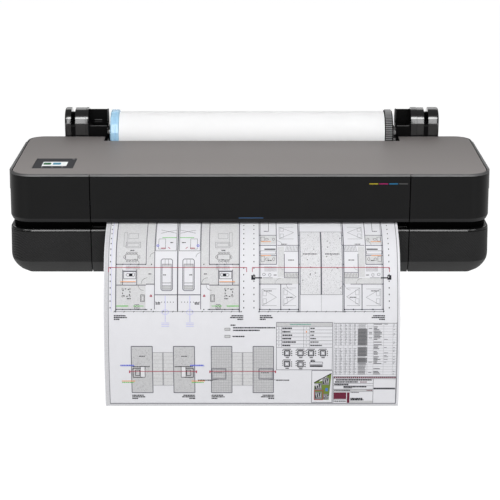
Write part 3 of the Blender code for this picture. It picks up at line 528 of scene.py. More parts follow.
def lower_shell(side, name):
    heights = [*BASE_HEIGHTS, 0.031, 0.037]
    levels = [(z, *base_inset(z), 0.0) for z in heights]
    levels += [even(LOWER_TOP - depth, inset) for depth, inset in DECK_SECTION]
    # Bands below 0.026 m take the lightened bevel finish, a painted floor reflection.
    finishes = [int(z < 0.026) for z in heights] + [3, 3, 3, 2, 2, 2, 2]
    outer = end_solid(side, SEAM - SEAM_SHIFT[side] + SEAM_GAP, levels, finishes)
    inner = [(z + WALL, base_inset(z)[0] + WALL, base_inset(z)[1] + WALL, WALL) for z in heights]
    inner += [even(LOWER_TOP - 0.008, WALL), even(LOWER_TOP - WALL, WALL + 0.004)]
    mesh = boolean(outer, end_solid(side, SEAM - 0.02, inner))
    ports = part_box("port_panel") if side < 0 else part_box("power_inlet")
    hole = box(ports[0].x - 0.0003, ports[1].x + 0.0003, BACK - 0.012, BACK + 0.01,
               ports[0].z - 0.0003, ports[1].z + 0.0003)
    mesh = boolean(mesh, hole)
    if side > 0:
        low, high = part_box("service_station")
        mesh = boolean(mesh, box(low.x - 0.003, high.x + 0.003, low.y - 0.003, high.y + 0.003,
                                 LOWER_TOP - 0.01, LOWER_TOP + 0.01))
    piece(f"lower_shell_{name}", mesh, "chassis", BASE_FINISHES, f"lower_{name}_cover")


def lower_panel():
    outside = [(FRONT + base_inset(z)[1], z) for z in BASE_HEIGHTS]
    inside = [(y + WALL, z + WALL) for y, z in outside]
    outside += [(FRONT + inset, LOWER_TOP - depth) for depth, inset in DECK_SECTION]
    profile = [(FRONT + 0.060, 0), *outside, (FRONT + 0.020, LOWER_TOP), (FRONT + 0.020, LOWER_TOP - WALL),
               (FRONT + 0.0045, LOWER_TOP - WALL), (FRONT + WALL, LOWER_TOP - 0.008), *inside[::-1],
               (FRONT + 0.060, WALL)]
    half = SEAM - SEAM_GAP
    mesh = bar_x(profile, SEAM_SHIFT[-1] - half, half)
    for face in mesh.faces:
        middle = face.calc_center_median()
        if middle.z > LOWER_TOP - 0.0044:
            face.material_index = 2
        elif middle.z > LOWER_TOP - 0.0057:
            face.material_index = 3
        # The bottom rounding takes the lightened bevel finish, a painted floor reflection.
        elif middle.z < 0.026:
            face.material_index = 1
    piece("front_skirt", mesh, "chassis", BASE_FINISHES, "lower_front_panel")


def top_plate():
    """The taupe plate, eased along its edge, with the roll's notch and the display's hole."""
    def plan(inset):
        right = end_outline(1, 0, inset, inset, inset)[2:-2]
        return right + [(-x, y) for x, y in right[::-1]]

    levels = [(TOP - 0.0030, PLATE_INSET), (TOP - 0.0006, PLATE_INSET), (TOP - 0.0002, PLATE_INSET + 0.0002),
              (TOP, PLATE_INSET + 0.0007)]
    mesh = loft([[(x + (draft(y, z) if x > 0 else -draft(y, z)), y, z) for x, y in plan(inset)]
                 for z, inset in levels])
    mesh = boolean(mesh, box(MEDIA_X - NOTCH_HALF, MEDIA_X + NOTCH_HALF, NOTCH_FRONT, BACK + 0.02,
                             TOP - 0.02, TOP + 0.02))
    clear = 0.0006
    mesh = boolean(mesh, box(DISPLAY_LOW.x - clear, DISPLAY_HIGH.x + clear, DISPLAY_LOW.y - clear - 0.0004,
                             DISPLAY_HIGH.y + clear, TOP - 0.02, TOP + 0.02))
    piece("top_plate_fine", mesh, "chassis", "taupe", "top_plate", smooth=25)

    floor, wall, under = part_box("display_housing")[0].z - 0.0010, 0.0016, TOP - 0.0031
    tray = box(DISPLAY_LOW.x - clear - wall, DISPLAY_HIGH.x + clear + wall, DISPLAY_LOW.y - clear - wall,
               DISPLAY_HIGH.y + clear + wall, floor - wall, under)
    inside = box(DISPLAY_LOW.x - clear, DISPLAY_HIGH.x + clear, DISPLAY_LOW.y - clear, DISPLAY_HIGH.y + clear,
                 floor, under + 0.01)
    piece("display_tray", boolean(tray, inside), "chassis", "recess", bevel=0.0004)


def feet():
    for name in ("front_left", "front_right", "back_left", "back_right"):
        low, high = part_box(f"foot_{name}")
        x, y = (low.x + high.x) / 2, (low.y + high.y) / 2
        steps = [(low.z, 0.0095), (low.z + 0.0004, 0.0115), (low.z + 0.0015, 0.0125), (-0.0035, 0.0131),
                 (-0.0030, 0.0124), (-0.0022, 0.0124), (-0.0018, 0.0135), (high.z, 0.0135)]
        piece(f"rubber_foot_{name}", turned_z(steps, x, y, 40), "chassis", "rubber", f"foot_{name}")


# Roll --------------------------------------------------------------------------------------
def tower_profile(radius=TOWER_RADIUS, steps=36):
    return [(TOWER_Y + radius, TOWER_LOW.z), *arc((TOWER_Y, TOWER_Z), radius, 0, pi, steps),
            (TOWER_Y - radius, TOWER_LOW.z)]


def tower_loft(levels):
    return loft([[(x, y, z) for y, z in shrunk(tower_profile(), inset)] for x, inset in levels])


def roll_support(side, name):
    """A tower: cheek and open cradle, a slit, an outer cheek on its housing, and a round end cap."""
    cradle, outer = sorted((corner.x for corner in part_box(f"roll_support_{name}")), key=abs)
    cheek, slit_in, slit_out = side * CHEEK_X, side * SLIT_X[0], side * SLIT_X[1]
    band = cheek + side * (0.0135 if side > 0 else 0.0055)
    rounding = [(0.0, 0.0012), (0.0004, 0.0004), (0.0012, 0.0)]
    levels = [(cradle + side * x, 0.0016 + inset) for x, inset in rounding]
    levels += [(cheek - side * 0.0012, 0.0016), (cheek - side * 0.0002, 0.0003), (cheek + side * 0.0006, 0.0)]
    levels += [(band, 0.0), (band + side * 0.0006, 0.0008)]
    levels += [(slit_in - side * x, 0.0008 + inset) for x, inset in rounding[::-1]]
    mesh = tower_loft(levels)

    radius, low, high = 0.0050, TOWER_Z - 0.0035, TOWER_Z + 0.08
    opening = [(cradle - side * 0.01, high), (cradle - side * 0.01, low)]
    for k in range(9):
        turn = -pi / 2 + pi / 2 * k / 8
        opening.append((cheek - side * radius + side * radius * cos(turn), low + radius + radius * sin(turn)))
    opening.append((cheek, high))
    rear = TOWER_Y + 0.0185
    mesh = boolean(mesh, slab_y(opening, TOWER_LOW.y - 0.01, rear))
    journal = 0.0131
    lip = ROLL_Y + 0.0145
    channel = [(lip, high), (lip, ROLL_Z), *arc((ROLL_Y, ROLL_Z), journal, 0, -pi, 16)[1:-1],
               (ROLL_Y - journal, ROLL_Z), (ROLL_Y - journal, high)]
    ends = sorted((cradle - side * 0.01, cheek - side * 0.008))
    mesh = boolean(mesh, bar_x(channel, *ends))
    step = TOWER_HIGH.z - 0.0022
    mesh = boolean(mesh, box(*sorted((cradle - side * 0.01, cheek)), rear - 0.001, TOWER_HIGH.y + 0.01,
                             step, step + 0.05))
    # Faces inside the cheek take the darker matte black: painted shade inside the cradle.
    for face in mesh.faces:
        face.material_index = int(abs(face.calc_center_median().x) < CHEEK_X - 0.0008)
    piece(f"roll_cradle_{name}", mesh, "chassis", ("gloss", "cradle"), f"roll_support_{name}", bevel=0.0007,
          angle=40)

    levels = [(slit_out + side * x, inset) for x, inset in rounding]
    levels += [(outer + side * (0.0022 - x), inset) for x, inset in
               ((0.0050, 0.0), (0.0028, 0.0004), (0.0012, 0.0014), (0.0003, 0.0030), (0.0, 0.0044))]
    piece(f"outer_cheek_{name}", tower_loft(levels), "chassis", "gloss")

    edge, low = TOWER_RADIUS - 0.0003, TOWER_Z - 0.0035
    base = [(TOWER_Y + edge, TOWER_LOW.z), *arc((TOWER_Y, TOWER_Z), edge, 0, radians(34), 8),
            (rear, TOWER_Z + 0.019), (rear, low), (TOWER_Y - edge, low), (TOWER_Y - edge, TOWER_LOW.z)]
    housing = bar_x(base, *sorted((slit_in - side * 0.0010, outer - side * 0.004)))
    housing.normal_update()
    # Faces not turned to the back take the darker matte black: painted shade where the housing shows in the
    # slit.
    for face in housing.faces:
        face.material_index = int(face.normal.y < 0.7)
    piece(f"support_housing_{name}", housing, "chassis", ("gloss", "cradle"), bevel=0.0008)
    cap_z, cap = TOWER_Z - 0.0125, 0.0280
    steps = [(outer - side * 0.004, cap), (outer + side * 0.0004, cap), (outer + side * 0.0014, cap - 0.0006),
             (outer + side * 0.0026, cap - 0.0022), (outer + side * 0.0032, cap - 0.0045),
             (outer + side * 0.0034, cap - 0.009), (outer + side * 0.0030, cap - 0.0096),
             (outer + side * 0.0030, 0.001)]
    piece(f"support_cap_{name}", turned_x(steps, TOWER_Y, cap_z, 64), "chassis", "gloss")
    # The rim, the post and the ribs take the lightened edge finish: painted highlights along the cradle's
    # rim, the rounded end of its rear wall and the ribs' edges.
    rim = box(*sorted((cradle + side * 0.0010, cheek - side * 0.0045)), TOWER_LOW.y + 0.0020,
              TOWER_LOW.y + 0.0036, TOWER_Z - 0.0042, TOWER_Z - 0.0026)
    piece(f"cradle_rim_{name}", rim, "chassis", "edge", bevel=0.0005)
    post = box(*sorted((cradle + side * 0.0001, cradle + side * 0.0042)), rear - 0.0008, rear + 0.0100,
               TOWER_Z - 0.0030, TOWER_HIGH.z - 0.0080)
    piece(f"cradle_post_{name}", post, "chassis", "edge", bevel=0.0018)
    if side < 0:
        for k, low in enumerate((-0.0050, 0.0000)):
            rib = box(cradle - 0.0338, cradle - 0.0166, rear - 0.0016, rear + 0.0005, TOWER_Z + low,
                      TOWER_Z + low + 0.0019)
            piece(f"cradle_rib_{k + 1}", rib, "chassis", "edge", bevel=0.0004)


def spindle():
    """The shaft with its collar, the two hubs and the gear that takes the drive."""
    low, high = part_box("spindle_shaft")
    journal, collar = 0.0125, 0.0195
    left, right = MEDIA_X - 0.3325, MEDIA_X - 0.3255
    steps = [(low.x, 0.0112), (low.x + 0.0008, 0.0122), (low.x + 0.0020, journal), (left, journal),
             (left, collar - 0.0030), (left + 0.0006, collar - 0.0012), (left + 0.0016, collar - 0.0002),
             (left + 0.0028, collar), (right - 0.0012, collar), (right - 0.0003, collar - 0.0005),
             (right, collar - 0.0012), (right, journal), (high.x - 0.0020, journal),
             (high.x - 0.0008, 0.0122), (high.x, 0.0112)]
    piece("spindle_shaft_fine", turned_x(steps, ROLL_Y, ROLL_Z, 64), "roll", "gloss", "spindle_shaft")

    blue_low, blue_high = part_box("blue_hub")
    flange = (blue_high.z - blue_low.z) / 2
    inner, outer = ROLL_LOW.x - 0.0003, blue_low.x
    facets = 17
    steps = [(ROLL_LOW.x + 0.0300, 0.0225), (ROLL_LOW.x + 0.0260, 0.0249), (inner, 0.0249),
             (inner, flange - 0.0014), (inner - 0.0012, flange), (inner - 0.0068, flange),
             (inner - 0.0074, flange - 0.0011), (inner - 0.0082, flange - 0.0011), (inner - 0.0088, flange),
             (outer + 0.0030, flange), (outer + 0.0008, flange - 0.0014), (outer, flange - 0.0036),
             (outer, 0.0305), (outer + 0.0030, 0.0290), (outer + 0.0030, 0.0205), (outer, 0.0190),
             (outer, 0.0129)]
    mesh = boolean(turned_x(steps, ROLL_Y, ROLL_Z, facets, radians(168)),
                   turned_x([(MEDIA_X - 0.40, 0.0129), (MEDIA_X - 0.20, 0.0129)], ROLL_Y, ROLL_Z, 48))
    piece("blue_hub_fine", mesh, "roll", "blue", "blue_hub", smooth=5)

    inner, outer = ROLL_HIGH.x + 0.0003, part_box("black_hub")[1].x
    steps = [(ROLL_HIGH.x - 0.0300, 0.0225), (ROLL_HIGH.x - 0.0260, 0.0249), (inner, 0.0249),
             (inner, flange - 0.0030), (inner + 0.0012, flange - 0.0018), (outer - 0.0024, flange - 0.0018),
             (outer - 0.0006, flange - 0.0032), (outer, flange - 0.0050), (outer, 0.0129)]
    mesh = boolean(turned_x(steps, ROLL_Y, ROLL_Z, 96),
                   turned_x([(MEDIA_X + 0.20, 0.0129), (MEDIA_X + 0.40, 0.0129)], ROLL_Y, ROLL_Z, 48))
    piece("black_hub_fine", mesh, "roll", "recess", "black_hub")
    ribs = 76
    half = 0.5 * pi / ribs
    section = [(flange - 0.0022, -half), (flange - 0.0002, -half * 0.8), (flange - 0.0002, half * 0.8),
               (flange - 0.0022, half)]
    levels = [(inner + 0.0014, 0.0008), (inner + 0.0022, 0), (outer - 0.0034, 0), (outer - 0.0024, 0.0008)]
    mesh = bmesh.new()
    for k in range(ribs):
        turn = 2 * pi * k / ribs
        rings = [[(x, ROLL_Y + (r - drop) * cos(turn + a), ROLL_Z + (r - drop) * sin(turn + a))
                  for r, a in section] for x, drop in levels]
        join_rings(mesh, [[mesh.verts.new(point) for point in ring] for ring in rings])
    # The ribs are light grey on the black hub: painted highlights along them.
    piece("hub_ribs", mesh, "roll", "hub")

    refined("spindle_gear", "gloss", 0.0002)


def join_rings(mesh, rings):
    """Faces between loops of vertices, with flat ends."""
    for low, high in zip(rings, rings[1:]):
        for i in range(len(low)):
            j = (i + 1) % len(low)
            mesh.faces.new((low[i], low[j], high[j], high[i]))
    mesh.faces.new(rings[0][::-1])
    mesh.faces.new(rings[-1])


def paper_roll():
    left, right = ROLL_LOW.x, ROLL_HIGH.x
    inside, outside = 0.0288, ROLL_RADIUS
    section = [(left + 0.0002, inside), (left, outside - 0.0006), (left + 0.0004, outside - 0.0001),
               (left + 0.0010, outside), (right - 0.0010, outside), (right - 0.0004, outside - 0.0001),
               (right, outside - 0.0006), (right - 0.0002, inside)]
    # The roll's paper glows a little, painted light.
    piece("paper_roll_fine", ring_x(section, ROLL_Y, ROLL_Z, 160), "roll", "roll_paper", "paper_roll")
    core = [(left, 0.0256), (left, 0.0284), (right, 0.0284), (right, 0.0256)]
    piece("paper_core_fine", ring_x(core, ROLL_Y, ROLL_Z, 72), "roll", "card", "paper_core")


# Sheet -------------------------------------------------------------------------------------
def smooth_line(points, steps):
    """A Catmull-Rom curve through points, with its ends held."""
    held = [points[0], *points, points[-1]]
    line = []
    for a, b, c, d in zip(held, held[1:], held[2:], held[3:]):
        a, b, c, d = map(Vector, (a, b, c, d))
        for k in range(steps):
            t = k / steps
            line.append(0.5 * (2 * b + (c - a) * t + (2 * a - 5 * b + 4 * c - d) * t ** 2
                               + (3 * b - a - 3 * c + d) * t ** 3))
    return line + [Vector(points[-1])]


SHEET_LINE = smooth_line(
    [(FRONT + 0.140, WEB_Z), (FRONT + 0.070, WEB_Z), (FRONT + 0.034, WEB_Z - 0.0004),
     (FRONT + 0.008, WEB_Z - 0.0022), (FRONT - 0.034, 0.0900), (FRONT - 0.070, 0.0570),
     (FRONT - 0.106, -0.0230), (FRONT - 0.1240, -0.1040), (FRONT - 0.1290, -0.1800),
     (FRONT - 0.1245, -0.2500)], 14)[::-1]
SHEET_RUN = [0.0]
for start, end in zip(SHEET_LINE, SHEET_LINE[1:]):
    SHEET_RUN.append(SHEET_RUN[-1] + (end - start).length)
SHEET_LENGTH = SHEET_RUN[-1]


def on_sheet(x, run, lift):
    """A point on the sheet's printed side: x from its middle and run up from its lower edge, in metres."""
    run = min(max(run, 0), SHEET_LENGTH)
    low, high = 0, len(SHEET_RUN) - 1
    while high - low > 1:
        middle = (low + high) // 2
        if SHEET_RUN[middle] <= run:
            low = middle
        else:
            high = middle
    share = (run - SHEET_RUN[low]) / (SHEET_RUN[high] - SHEET_RUN[low])
    place = SHEET_LINE[low].lerp(SHEET_LINE[high], share)

    def heading(k):
        k = min(max(k, 1), len(SHEET_LINE) - 2)
        return (SHEET_LINE[k + 1] - SHEET_LINE[k - 1]).normalized()

    along = heading(low).lerp(heading(high), share).normalized()
    out = Vector((-along.y, along.x))  # left of the upward heading is the front side
    return MEDIA_X + x, place.x + out.x * lift, place.y + out.y * lift


class Drawing:
    """Flat shapes in millimetres on the sheet, gathered by ink and built as thin closed strips.

    Every shape takes its place on a plan, and place turns a plan's x into the sheet's. A layer is how far
    a shape stands in front of those it overlaps.
    """

    def __init__(self, rng, inks, place=float):
        self.rng, self.inks, self.place = rng, inks, place

    def plan(self, middle, side):
        """The same drawing, for a plan measured from a pair's middle to one side."""
        return Drawing(self.rng, self.inks, lambda x: middle + side * x)

    def quad(self, ink, layer, corners):
        self.inks.setdefault(ink, []).append((corners, layer))

    def stroke(self, ink, layer, width, start, end):
        """A straight line between two places on the sheet itself. Fine lines print a little wider."""
        start, end = Vector(start), Vector(end)
        run = end - start
        if run.length < 1e-6:
            return
        side = Vector((-run.y, run.x)).normalized() * (width * 1.55 if width < 1.4 else width) / 2
        self.quad(ink, layer, [tuple(p) for p in (start + side, start - side, end - side, end + side)])

    def fill(self, ink, layer, *boxes):
        for *ends, low, high in boxes:
            left, right = sorted(map(self.place, ends))
            self.quad(ink, layer, [(left, low), (right, low), (right, high), (left, high)])

    def line(self, ink, layer, width, *runs):
        for x1, s1, x2, s2 in runs:
            self.stroke(ink, layer, width, (self.place(x1), s1), (self.place(x2), s2))

    def path(self, ink, layer, width, *points):
        """A closed outline."""
        for start, end in zip(points, points[1:] + points[:1]):
            self.line(ink, layer, width, (*start, *end))

    def frame(self, ink, layer, width, *boxes):
        for left, right, low, high in boxes:
            self.path(ink, layer, width, (left, low), (right, low), (right, high), (left, high))

    def oval(self, ink, layer, width, count, *ovals):
        for x, s, across, up in ovals:
            points = [(self.place(x) + across * c, s + up * d) for c, d in circle((0, 0), 1, count)]
            for k in range(count):
                self.stroke(ink, layer, width, points[k - 1], points[k])

    def swing(self, width, *doors):
        """The quarter circle of each door: its hinge, its radius and its start in half turns."""
        for x, s, radius, start in doors:
            points = arc((self.place(x), s), radius, pi * start, pi * (start + 0.5), 5)
            for k in range(5):
                self.stroke("ink", 3, width, points[k], points[k + 1])

    def text(self, left, right, s, weight, ink="ink", ragged=0.0):
        """A row of short bars that stands for a line of small text."""
        x, right = sorted((self.place(left), self.place(right)))
        end = right - self.rng.random() * ragged * (right - x)
        while x < end:
            word = 1.5 + 4.0 * self.rng.random()
            self.stroke(ink, 3, weight * 1.35, (x, s), (min(x + word, end), s))
            x += word + 0.6

    def build(self, ink, name):
        mesh = bmesh.new()
        for corners, layer in self.inks[ink]:
            lifts = [SHEET_THICK / 2 + 0.00002, SHEET_THICK / 2 + 0.00006 * layer + 0.00003]
            cuts = max(1, int(abs(corners[2][1] - corners[1][1]) / 5 + 0.999))
            rings = []
            for k in range(cuts + 1):
                left, right = (Vector(corners[a]).lerp(Vector(corners[b]), k / cuts)
                               for a, b in ((0, 3), (1, 2)))
                rings.append([mesh.verts.new(on_sheet(x / 1000, s / 1000, lift)) for lift, (x, s) in
                              ((lifts[0], left), (lifts[0], right), (lifts[1], right), (lifts[1], left))])
            join_rings(mesh, rings)
        return piece(name, mesh, "sheet", ink)


def caption(draw, edge, high, way):
    """Three bold rows below a plan, starting (way 1) or ending (way -1) at the edge."""
    for k, length in enumerate((24, 27, 12)):
        draw.text(edge, edge + way * length, high - 3.7 * k, 1.75)


def car(plan, x, low, high, half):
    """A car seen from above."""
    middle, corner, pane = (low + high) / 2, half * 0.75, half * 0.8
    plan.path("wall", 3, 0.9, (x - half, low + half * 0.25), (x - corner, low), (x + corner, low),
              (x + half, low + half * 0.25), (x + half, high - half * 0.25), (x + corner, high),
              (x - corner, high), (x - half, high - half * 0.25))
    plan.fill("shade_dark", 2, (x - pane, x + pane, middle + 15, middle + 22),
              (x - pane, x + pane, low + 3, low + 10))
    plan.line("wall", 3, 0.6, *((x - pane, s, x + pane, s)
                                for s in (middle - 17, middle + 15, middle + 22, low + 3, low + 10)))
    for side in (-1, 1):
        plan.line("wall", 3, 0.55, (x + side * pane, low + 3, x + side * pane, middle + 22))
        plan.line("wall", 3, 0.4, (x + side * half * 0.3, high - 14, x + side * half * 0.3, high - 1))


def ground_floor(plan):
    """One house of the left pair, measured from the party wall."""
    plan.fill("shade", 1, (47.5, 126.5, 303, 416), (65.8, 126.5, 210, 260), (47.5, 86, 260, 303),
              (113, 126.5, 260, 303))
    plan.line("wall", 3, 1.3, (127, 204, 127, 416), (0, 205, 0, 416))
    plan.line("wall", 3, 1.1, (65, 303, 127, 303), (65, 260, 127, 260), (62, 210, 127, 210),
              (0, 240, 48, 240), (84, 289, 113, 289), (47.5, 262, 65, 262))
    plan.line("wall", 3, 0.9, (47.5, 210, 47.5, 416), (65, 303, 65, 416), (84, 260, 84, 292),
              (113, 260, 113, 292))
    plan.fill("ink", 4, *((d - 1.1, d + 1.1, s, s + 2.2) for d in (126, 113, 97, 81, 66, 54)
                          for s in (208.9, 301.9)))
    # Sofa, low table, dining table and its chairs.
    plan.frame("grey", 3, 0.5, (107.5, 77.5, 339, 353))
    plan.frame("grey", 3, 0.4, (104.5, 80.5, 342, 350), (103, 83, 363, 377), (112, 106, 343, 380))
    plan.frame("ink", 3, 0.5, (107.5, 82.5, 312.5, 324.5))
    plan.oval("ink", 3, 0.4, 7, *((86 + 6 * k, s, 2.2, 1.7) for k in range(4) for s in (309.5, 327.5)),
              (110, 318.5, 1.7, 3.2), (79.5, 318.5, 1.7, 3.2))
    # Stairs, bathroom, round table and kitchen.
    plan.line("ink", 3, 0.35, *((79.5 + 2.4 * k, 292, 79.5 + 2.4 * k, 300.5) for k in range(12)))
    plan.oval("ink", 3, 0.5, 10, (102, 281, 4.2, 3.0), (91, 281.5, 2.8, 3.6))
    plan.frame("ink", 3, 0.6, (111, 86, 273, 288), (76, 68, 226, 240))
    plan.fill("ink", 3, (100, 93, 278, 284))
    plan.line("orange", 5, 0.9, (118, 267, 86, 267))
    plan.line("ink", 4, 0.5, (118, 264.6, 86, 264.6))
    table = circle((plan.place(105.4), 244.5), 8, 16)
    for start, end in zip(table[::2], table[1::2]):
        plan.stroke("ink", 3, 1.1, start, end)
    plan.oval("ink", 3, 0.4, 6, *((x, s, 1.8, 1.8) for x, s in circle((105.4, 244.5), 10.5, 4, pi / 4)))
    plan.line("green", 4, 1.3, (126, 217, 101, 217))
    plan.line("green", 4, 1.0, (91, 217, 70, 217), (33, 365.4, 3.5, 365.4))
    plan.frame("ink", 3, 0.5, (88, 79, 211, 220), (46, 3, 332, 416))
    plan.oval("ink", 3, 0.5, 8, (83.5, 215.5, 2.6, 2.6))
    plan.frame("ink", 3, 0.3, (74, 69.5, 228, 238))
    # Garage, porch and the coloured marks by the doors.
    plan.frame("ink", 3, 0.4, (40, 26, 336, 362))
    plan.line("ink", 3, 0.35, (36, 378, 4, 388), (36, 388, 4, 378))
    plan.oval("print_blue", 4, 0.9, 8, (41.5, 344.3, 2.3, 2.3))
    plan.line("red", 4, 1.1, (35, 338.2, 25, 338.2))
    plan.line("red", 4, 0.8, (20, 340.5, 16, 337))
    plan.text(16, 8, 352, 1.6, ragged=0.35)
    for left, right, s in ((30, 24, 281), (60, 54, 283), (98, 90, 333), (104, 96, 232)):
        plan.text(left, right, s, 1.4)
    car(plan, 22.4, 248.6, 314.3, 11.8)
    plan.path("red", 4, 0.9, (57, 236.5), (52.5, 236.5), (54.7, 240.5))
    plan.swing(0.35, (62, 262, 13, 0.5), (90, 303, 11, 0), (70, 260, 11, 1), (47.5, 318, 10, 0.5))
    # The drive, with a planted strip in lavender.
    plan.line("lavender", 3, 0.9, (25.3, 238, 25.3, 184))
    plan.oval("lavender", 3, 0.7, 14, (25.3, 204.5, 7, 5))
    plan.line("lavender", 3, 0.8, *((17.3, s, 33.3, s) for s in (182, 178.5, 175)))
    plan.fill("ink", 3, *((8 + 6 * k, 9.2 + 6 * k, 224, 226) for k in range(7)))
    for s in (223.5, 221):
        plan.text(45, 35, s, 1.3, ragged=0.1)


def upper_floor(plan):
    """One house of the right pair, measured from the pair's middle."""
    rng = plan.rng
    plan.fill("shade", 1, (126, 92, 349, 372), (126, 92, 303, 322), (90, 76, 277, 342), (126, 46, 262, 275),
              (75, 47, 275, 286))
    for width, *walls in (
            (1.5, (127.5, 204, 127.5, 416)), (1.4, (128, 210, 46, 210)), (1.3, (46.5, 204, 46.5, 416)),
            (1.1, (83.5, 210, 83.5, 262)), (1.0, (127, 345, 92, 345)),
            (0.9, (92, 303, 92, 416), (76, 275, 76, 325), (127, 262, 60, 262), (127, 303, 92, 303)),
            (0.8, (127, 322, 92, 322), (127, 372, 92, 372), (90, 345, 47, 345), (0.8, 240.4, 0.8, 382)),
            (0.7, (76, 286, 47, 286), (76, 275, 47, 275)),
            (0.6, (43.8, 204, 43.8, 416), (108, 385, 108, 416), (76, 331, 47, 331), (120, 275, 100, 275)),
            (0.5, (125, 210, 125, 416), (128, 205.5, 44, 205.5))):
        plan.line("wall", 3, width, *walls)
    plan.fill("ink", 4, *((d - 1.2, d + 1.2, 208.7, 211.3) for d in (127, 106, 83.5, 66, 47)))
    plan.fill("wall", 4, *((d - 1.3, d + 1.3, s - 1.3, s + 1.3) for d in (127, 46)
                           for s in (262, 303, 345, 372)))
    # Bathrooms and stairs.
    plan.line("orange", 5, 0.9, (124, 354.6, 103.6, 354.6), (124, 321.7, 103.6, 321.7))
    for s in (361, 314):
        plan.oval("ink", 3, 0.4, 9, (112, s, 3.4, 2.6), (98, s, 2.4, 3.2))
        plan.frame("ink", 3, 0.35, (124, 117, s - 5, s + 6))
    plan.oval("ink", 3, 0.4, 9, (118, 282, 3.2, 2.6), (106, 281, 2.6, 3.2))
    plan.fill("ink", 3, (117, 94, 334.5, 337), (98, 92, 280, 281.5))
    plan.frame("ink", 3, 0.4, (126, 94, 325, 332))
    plan.line("ink", 3, 0.3, *((116 - 2.3 * k, 288, 116 - 2.3 * k, 299) for k in range(11)))
    # Wardrobes with hangers, and beds whose folded covers are crossing lines.
    plan.line("ink", 3, 0.35, *((73 - 3 * k, low + 1, 71.5 - 3 * k, high - 1)
                                for low, high in ((275.5, 285.5), (331.5, 344)) for k in range(9)))
    for left, right, low, high in ((122, 92, 218, 252), (79, 52, 218, 254), (86, 56, 362, 398)):
        middle = (low + high) / 2
        plan.line("grey", 3, 0.4, (left, low, right, middle), (left, high, right, middle),
                  (left, high, right, high), (left, low, right, low), (left, low, left, high))
        plan.frame("grey", 3, 0.35, *((left - 2, left - 9, s, s + 10) for s in (low + 4, high - 14)))
    for left, right, s in ((118, 102, 248), (72, 58, 235), (82, 70, 348), (68, 56, 312), (118, 108, 384),
                           (110, 102, 311)):
        plan.text(left, right, s, 1.2)
    plan.swing(0.25, (92, 345, 12, 0), (83.5, 262, 12, 0.5), (60, 262, 12, 1), (76, 300, 9, 1))
    # The section's mark on the outer wall.
    plan.fill("ink", 3, (144, 136, 271, 280.5), (136, 122, 273.6, 276.2))
    plan.fill("shade", 4, (139.5, 137.5, 275.5, 278))
    # Half of the patio between the houses.
    plan.fill("pale_grey", 1, (0, 43, 240.4, 382))
    plan.frame("wall", 3, 0.5, (0, 43.2, 240.4, 382))
    for _ in range(330):
        d, s = 2 + 40 * rng.random(), 242 + 138 * rng.random()
        plan.fill("grey", 2, (d, d + 0.8, s, s + 0.8))
    for _ in range(7):
        d, s = 5 + 34 * rng.random(), 250 + 126 * rng.random()
        plan.fill("ink", 3, (d, d + 1.8, s, s + 1.8))
    plan.text(38, 8, 325, 1.4)
    plan.frame("grey", 3, 0.3, (0, 43.5, 205, 240.4))


def gravel_roof(draw, middle, side):
    """A roof of the left pair, flecked, with a tank and a rooflight."""
    rng, plan = draw.rng, draw.plan(middle, side)
    plan.fill("shade_dark", 1, (21.75, 65.25, 31, 133))
    plan.frame("wall", 3, 1.0, (21.75, 65.25, 31, 133))
    left = min(plan.place(21.75), plan.place(65.25))
    for _ in range(90):
        x, s = left + 2 + 36.5 * rng.random(), 34 + 94 * rng.random()
        plan.stroke("grey", 2, 0.25, (x, s), (x + 3.5 * rng.random(), s + 4 - 8 * rng.random()))
    plan.frame("ink", 3, 1.0, (43.25, 62.25, 66, 86))
    plan.frame("ink", 3, 0.8, (48.25, 57.25, 70, 82))
    plan.fill("paper_white", 4, (38.25, 46.25, 67, 89))
    plan.frame("ink", 3, 0.6, (37.25, 47.25, 66, 90))
    plan.text(23.75, 63.25, 89.5, 1.3, ragged=0.1)
    draw.text(left + 16, left + 28, 112, 1.2)


def tiled_roof(draw, left, right, tank, note, near):
    """A roof of the right pair, tiled, with a tank and a note beside it."""
    draw.fill("shade_dark", 1, (left, right, 31, 133))
    draw.frame("wall", 3, 1.0, (left, right, 31, 133))
    wide = right - left
    draw.line("grey", 2, 0.2, *((left + wide * k / 12, 32, left + wide * k / 12, 132) for k in range(1, 12)),
              *((left + 1, 31 + 102 * k / 18, right - 1, 31 + 102 * k / 18) for k in range(1, 18)))
    draw.frame("wall", 3, 0.9, (*tank, 62, 85))
    draw.frame("grey", 3, 0.4, (tank[0] + 2, tank[1] - 2, 64, 83))
    draw.line("ink", 3, 0.35, (near, 60, sum(tank) / 2, 62))
    draw.text(*note, 59.5, 1.6)
    draw.text(tank[0] + 4, tank[1] - 4, 76, 1.1, ragged=0.2)


def roofs(draw):
    """Four roofs joined in pairs, with the section line and small coloured notes."""
    for side in (-1, 1):
        gravel_roof(draw, -183.75, side)
    tiled_roof(draw, -84, -41.5, (-83, -54), (-112, -80), -80)
    tiled_roof(draw, 2.3, 44.5, (14.5, 43.5), (50, 77), 50)
    for left, right in ((-205, -162.5), (-41, 2)):
        draw.fill("shade", 1, (left, right, 48, 120))
        draw.frame("grey", 3, 0.5, (left, right, 48, 120))
        middle = (left + right) / 2
        draw.line("wall", 3, 0.45, *((x, 48, x, 120) for x in (middle - 0.8, middle + 0.8)))
        draw.line("grey", 2, 0.15, *((left, 48 + 8 * k, right, 48 + 8 * k) for k in range(1, 9)))
    for left, right in ((-254, -114), (-88, 49.5)):
        draw.line("red", 5, 0.8, (left, 79.2, right, 79.2))
        draw.fill("red", 5, *((x - 1.2, x + 1.2, 75.5, 81) for x in (left + 1, right - 1)))
    for left in (-272, -128):
        draw.text(left, left + 28, 92.6, 0.9, "print_blue")
        draw.line("print_blue", 4, 0.4, (left, 91, left + 30, 91))
        draw.text(left + 3, left + 30, 57.6, 0.9, "orange")
        draw.text(left + 3, left + 28, 54.6, 0.9, "green")


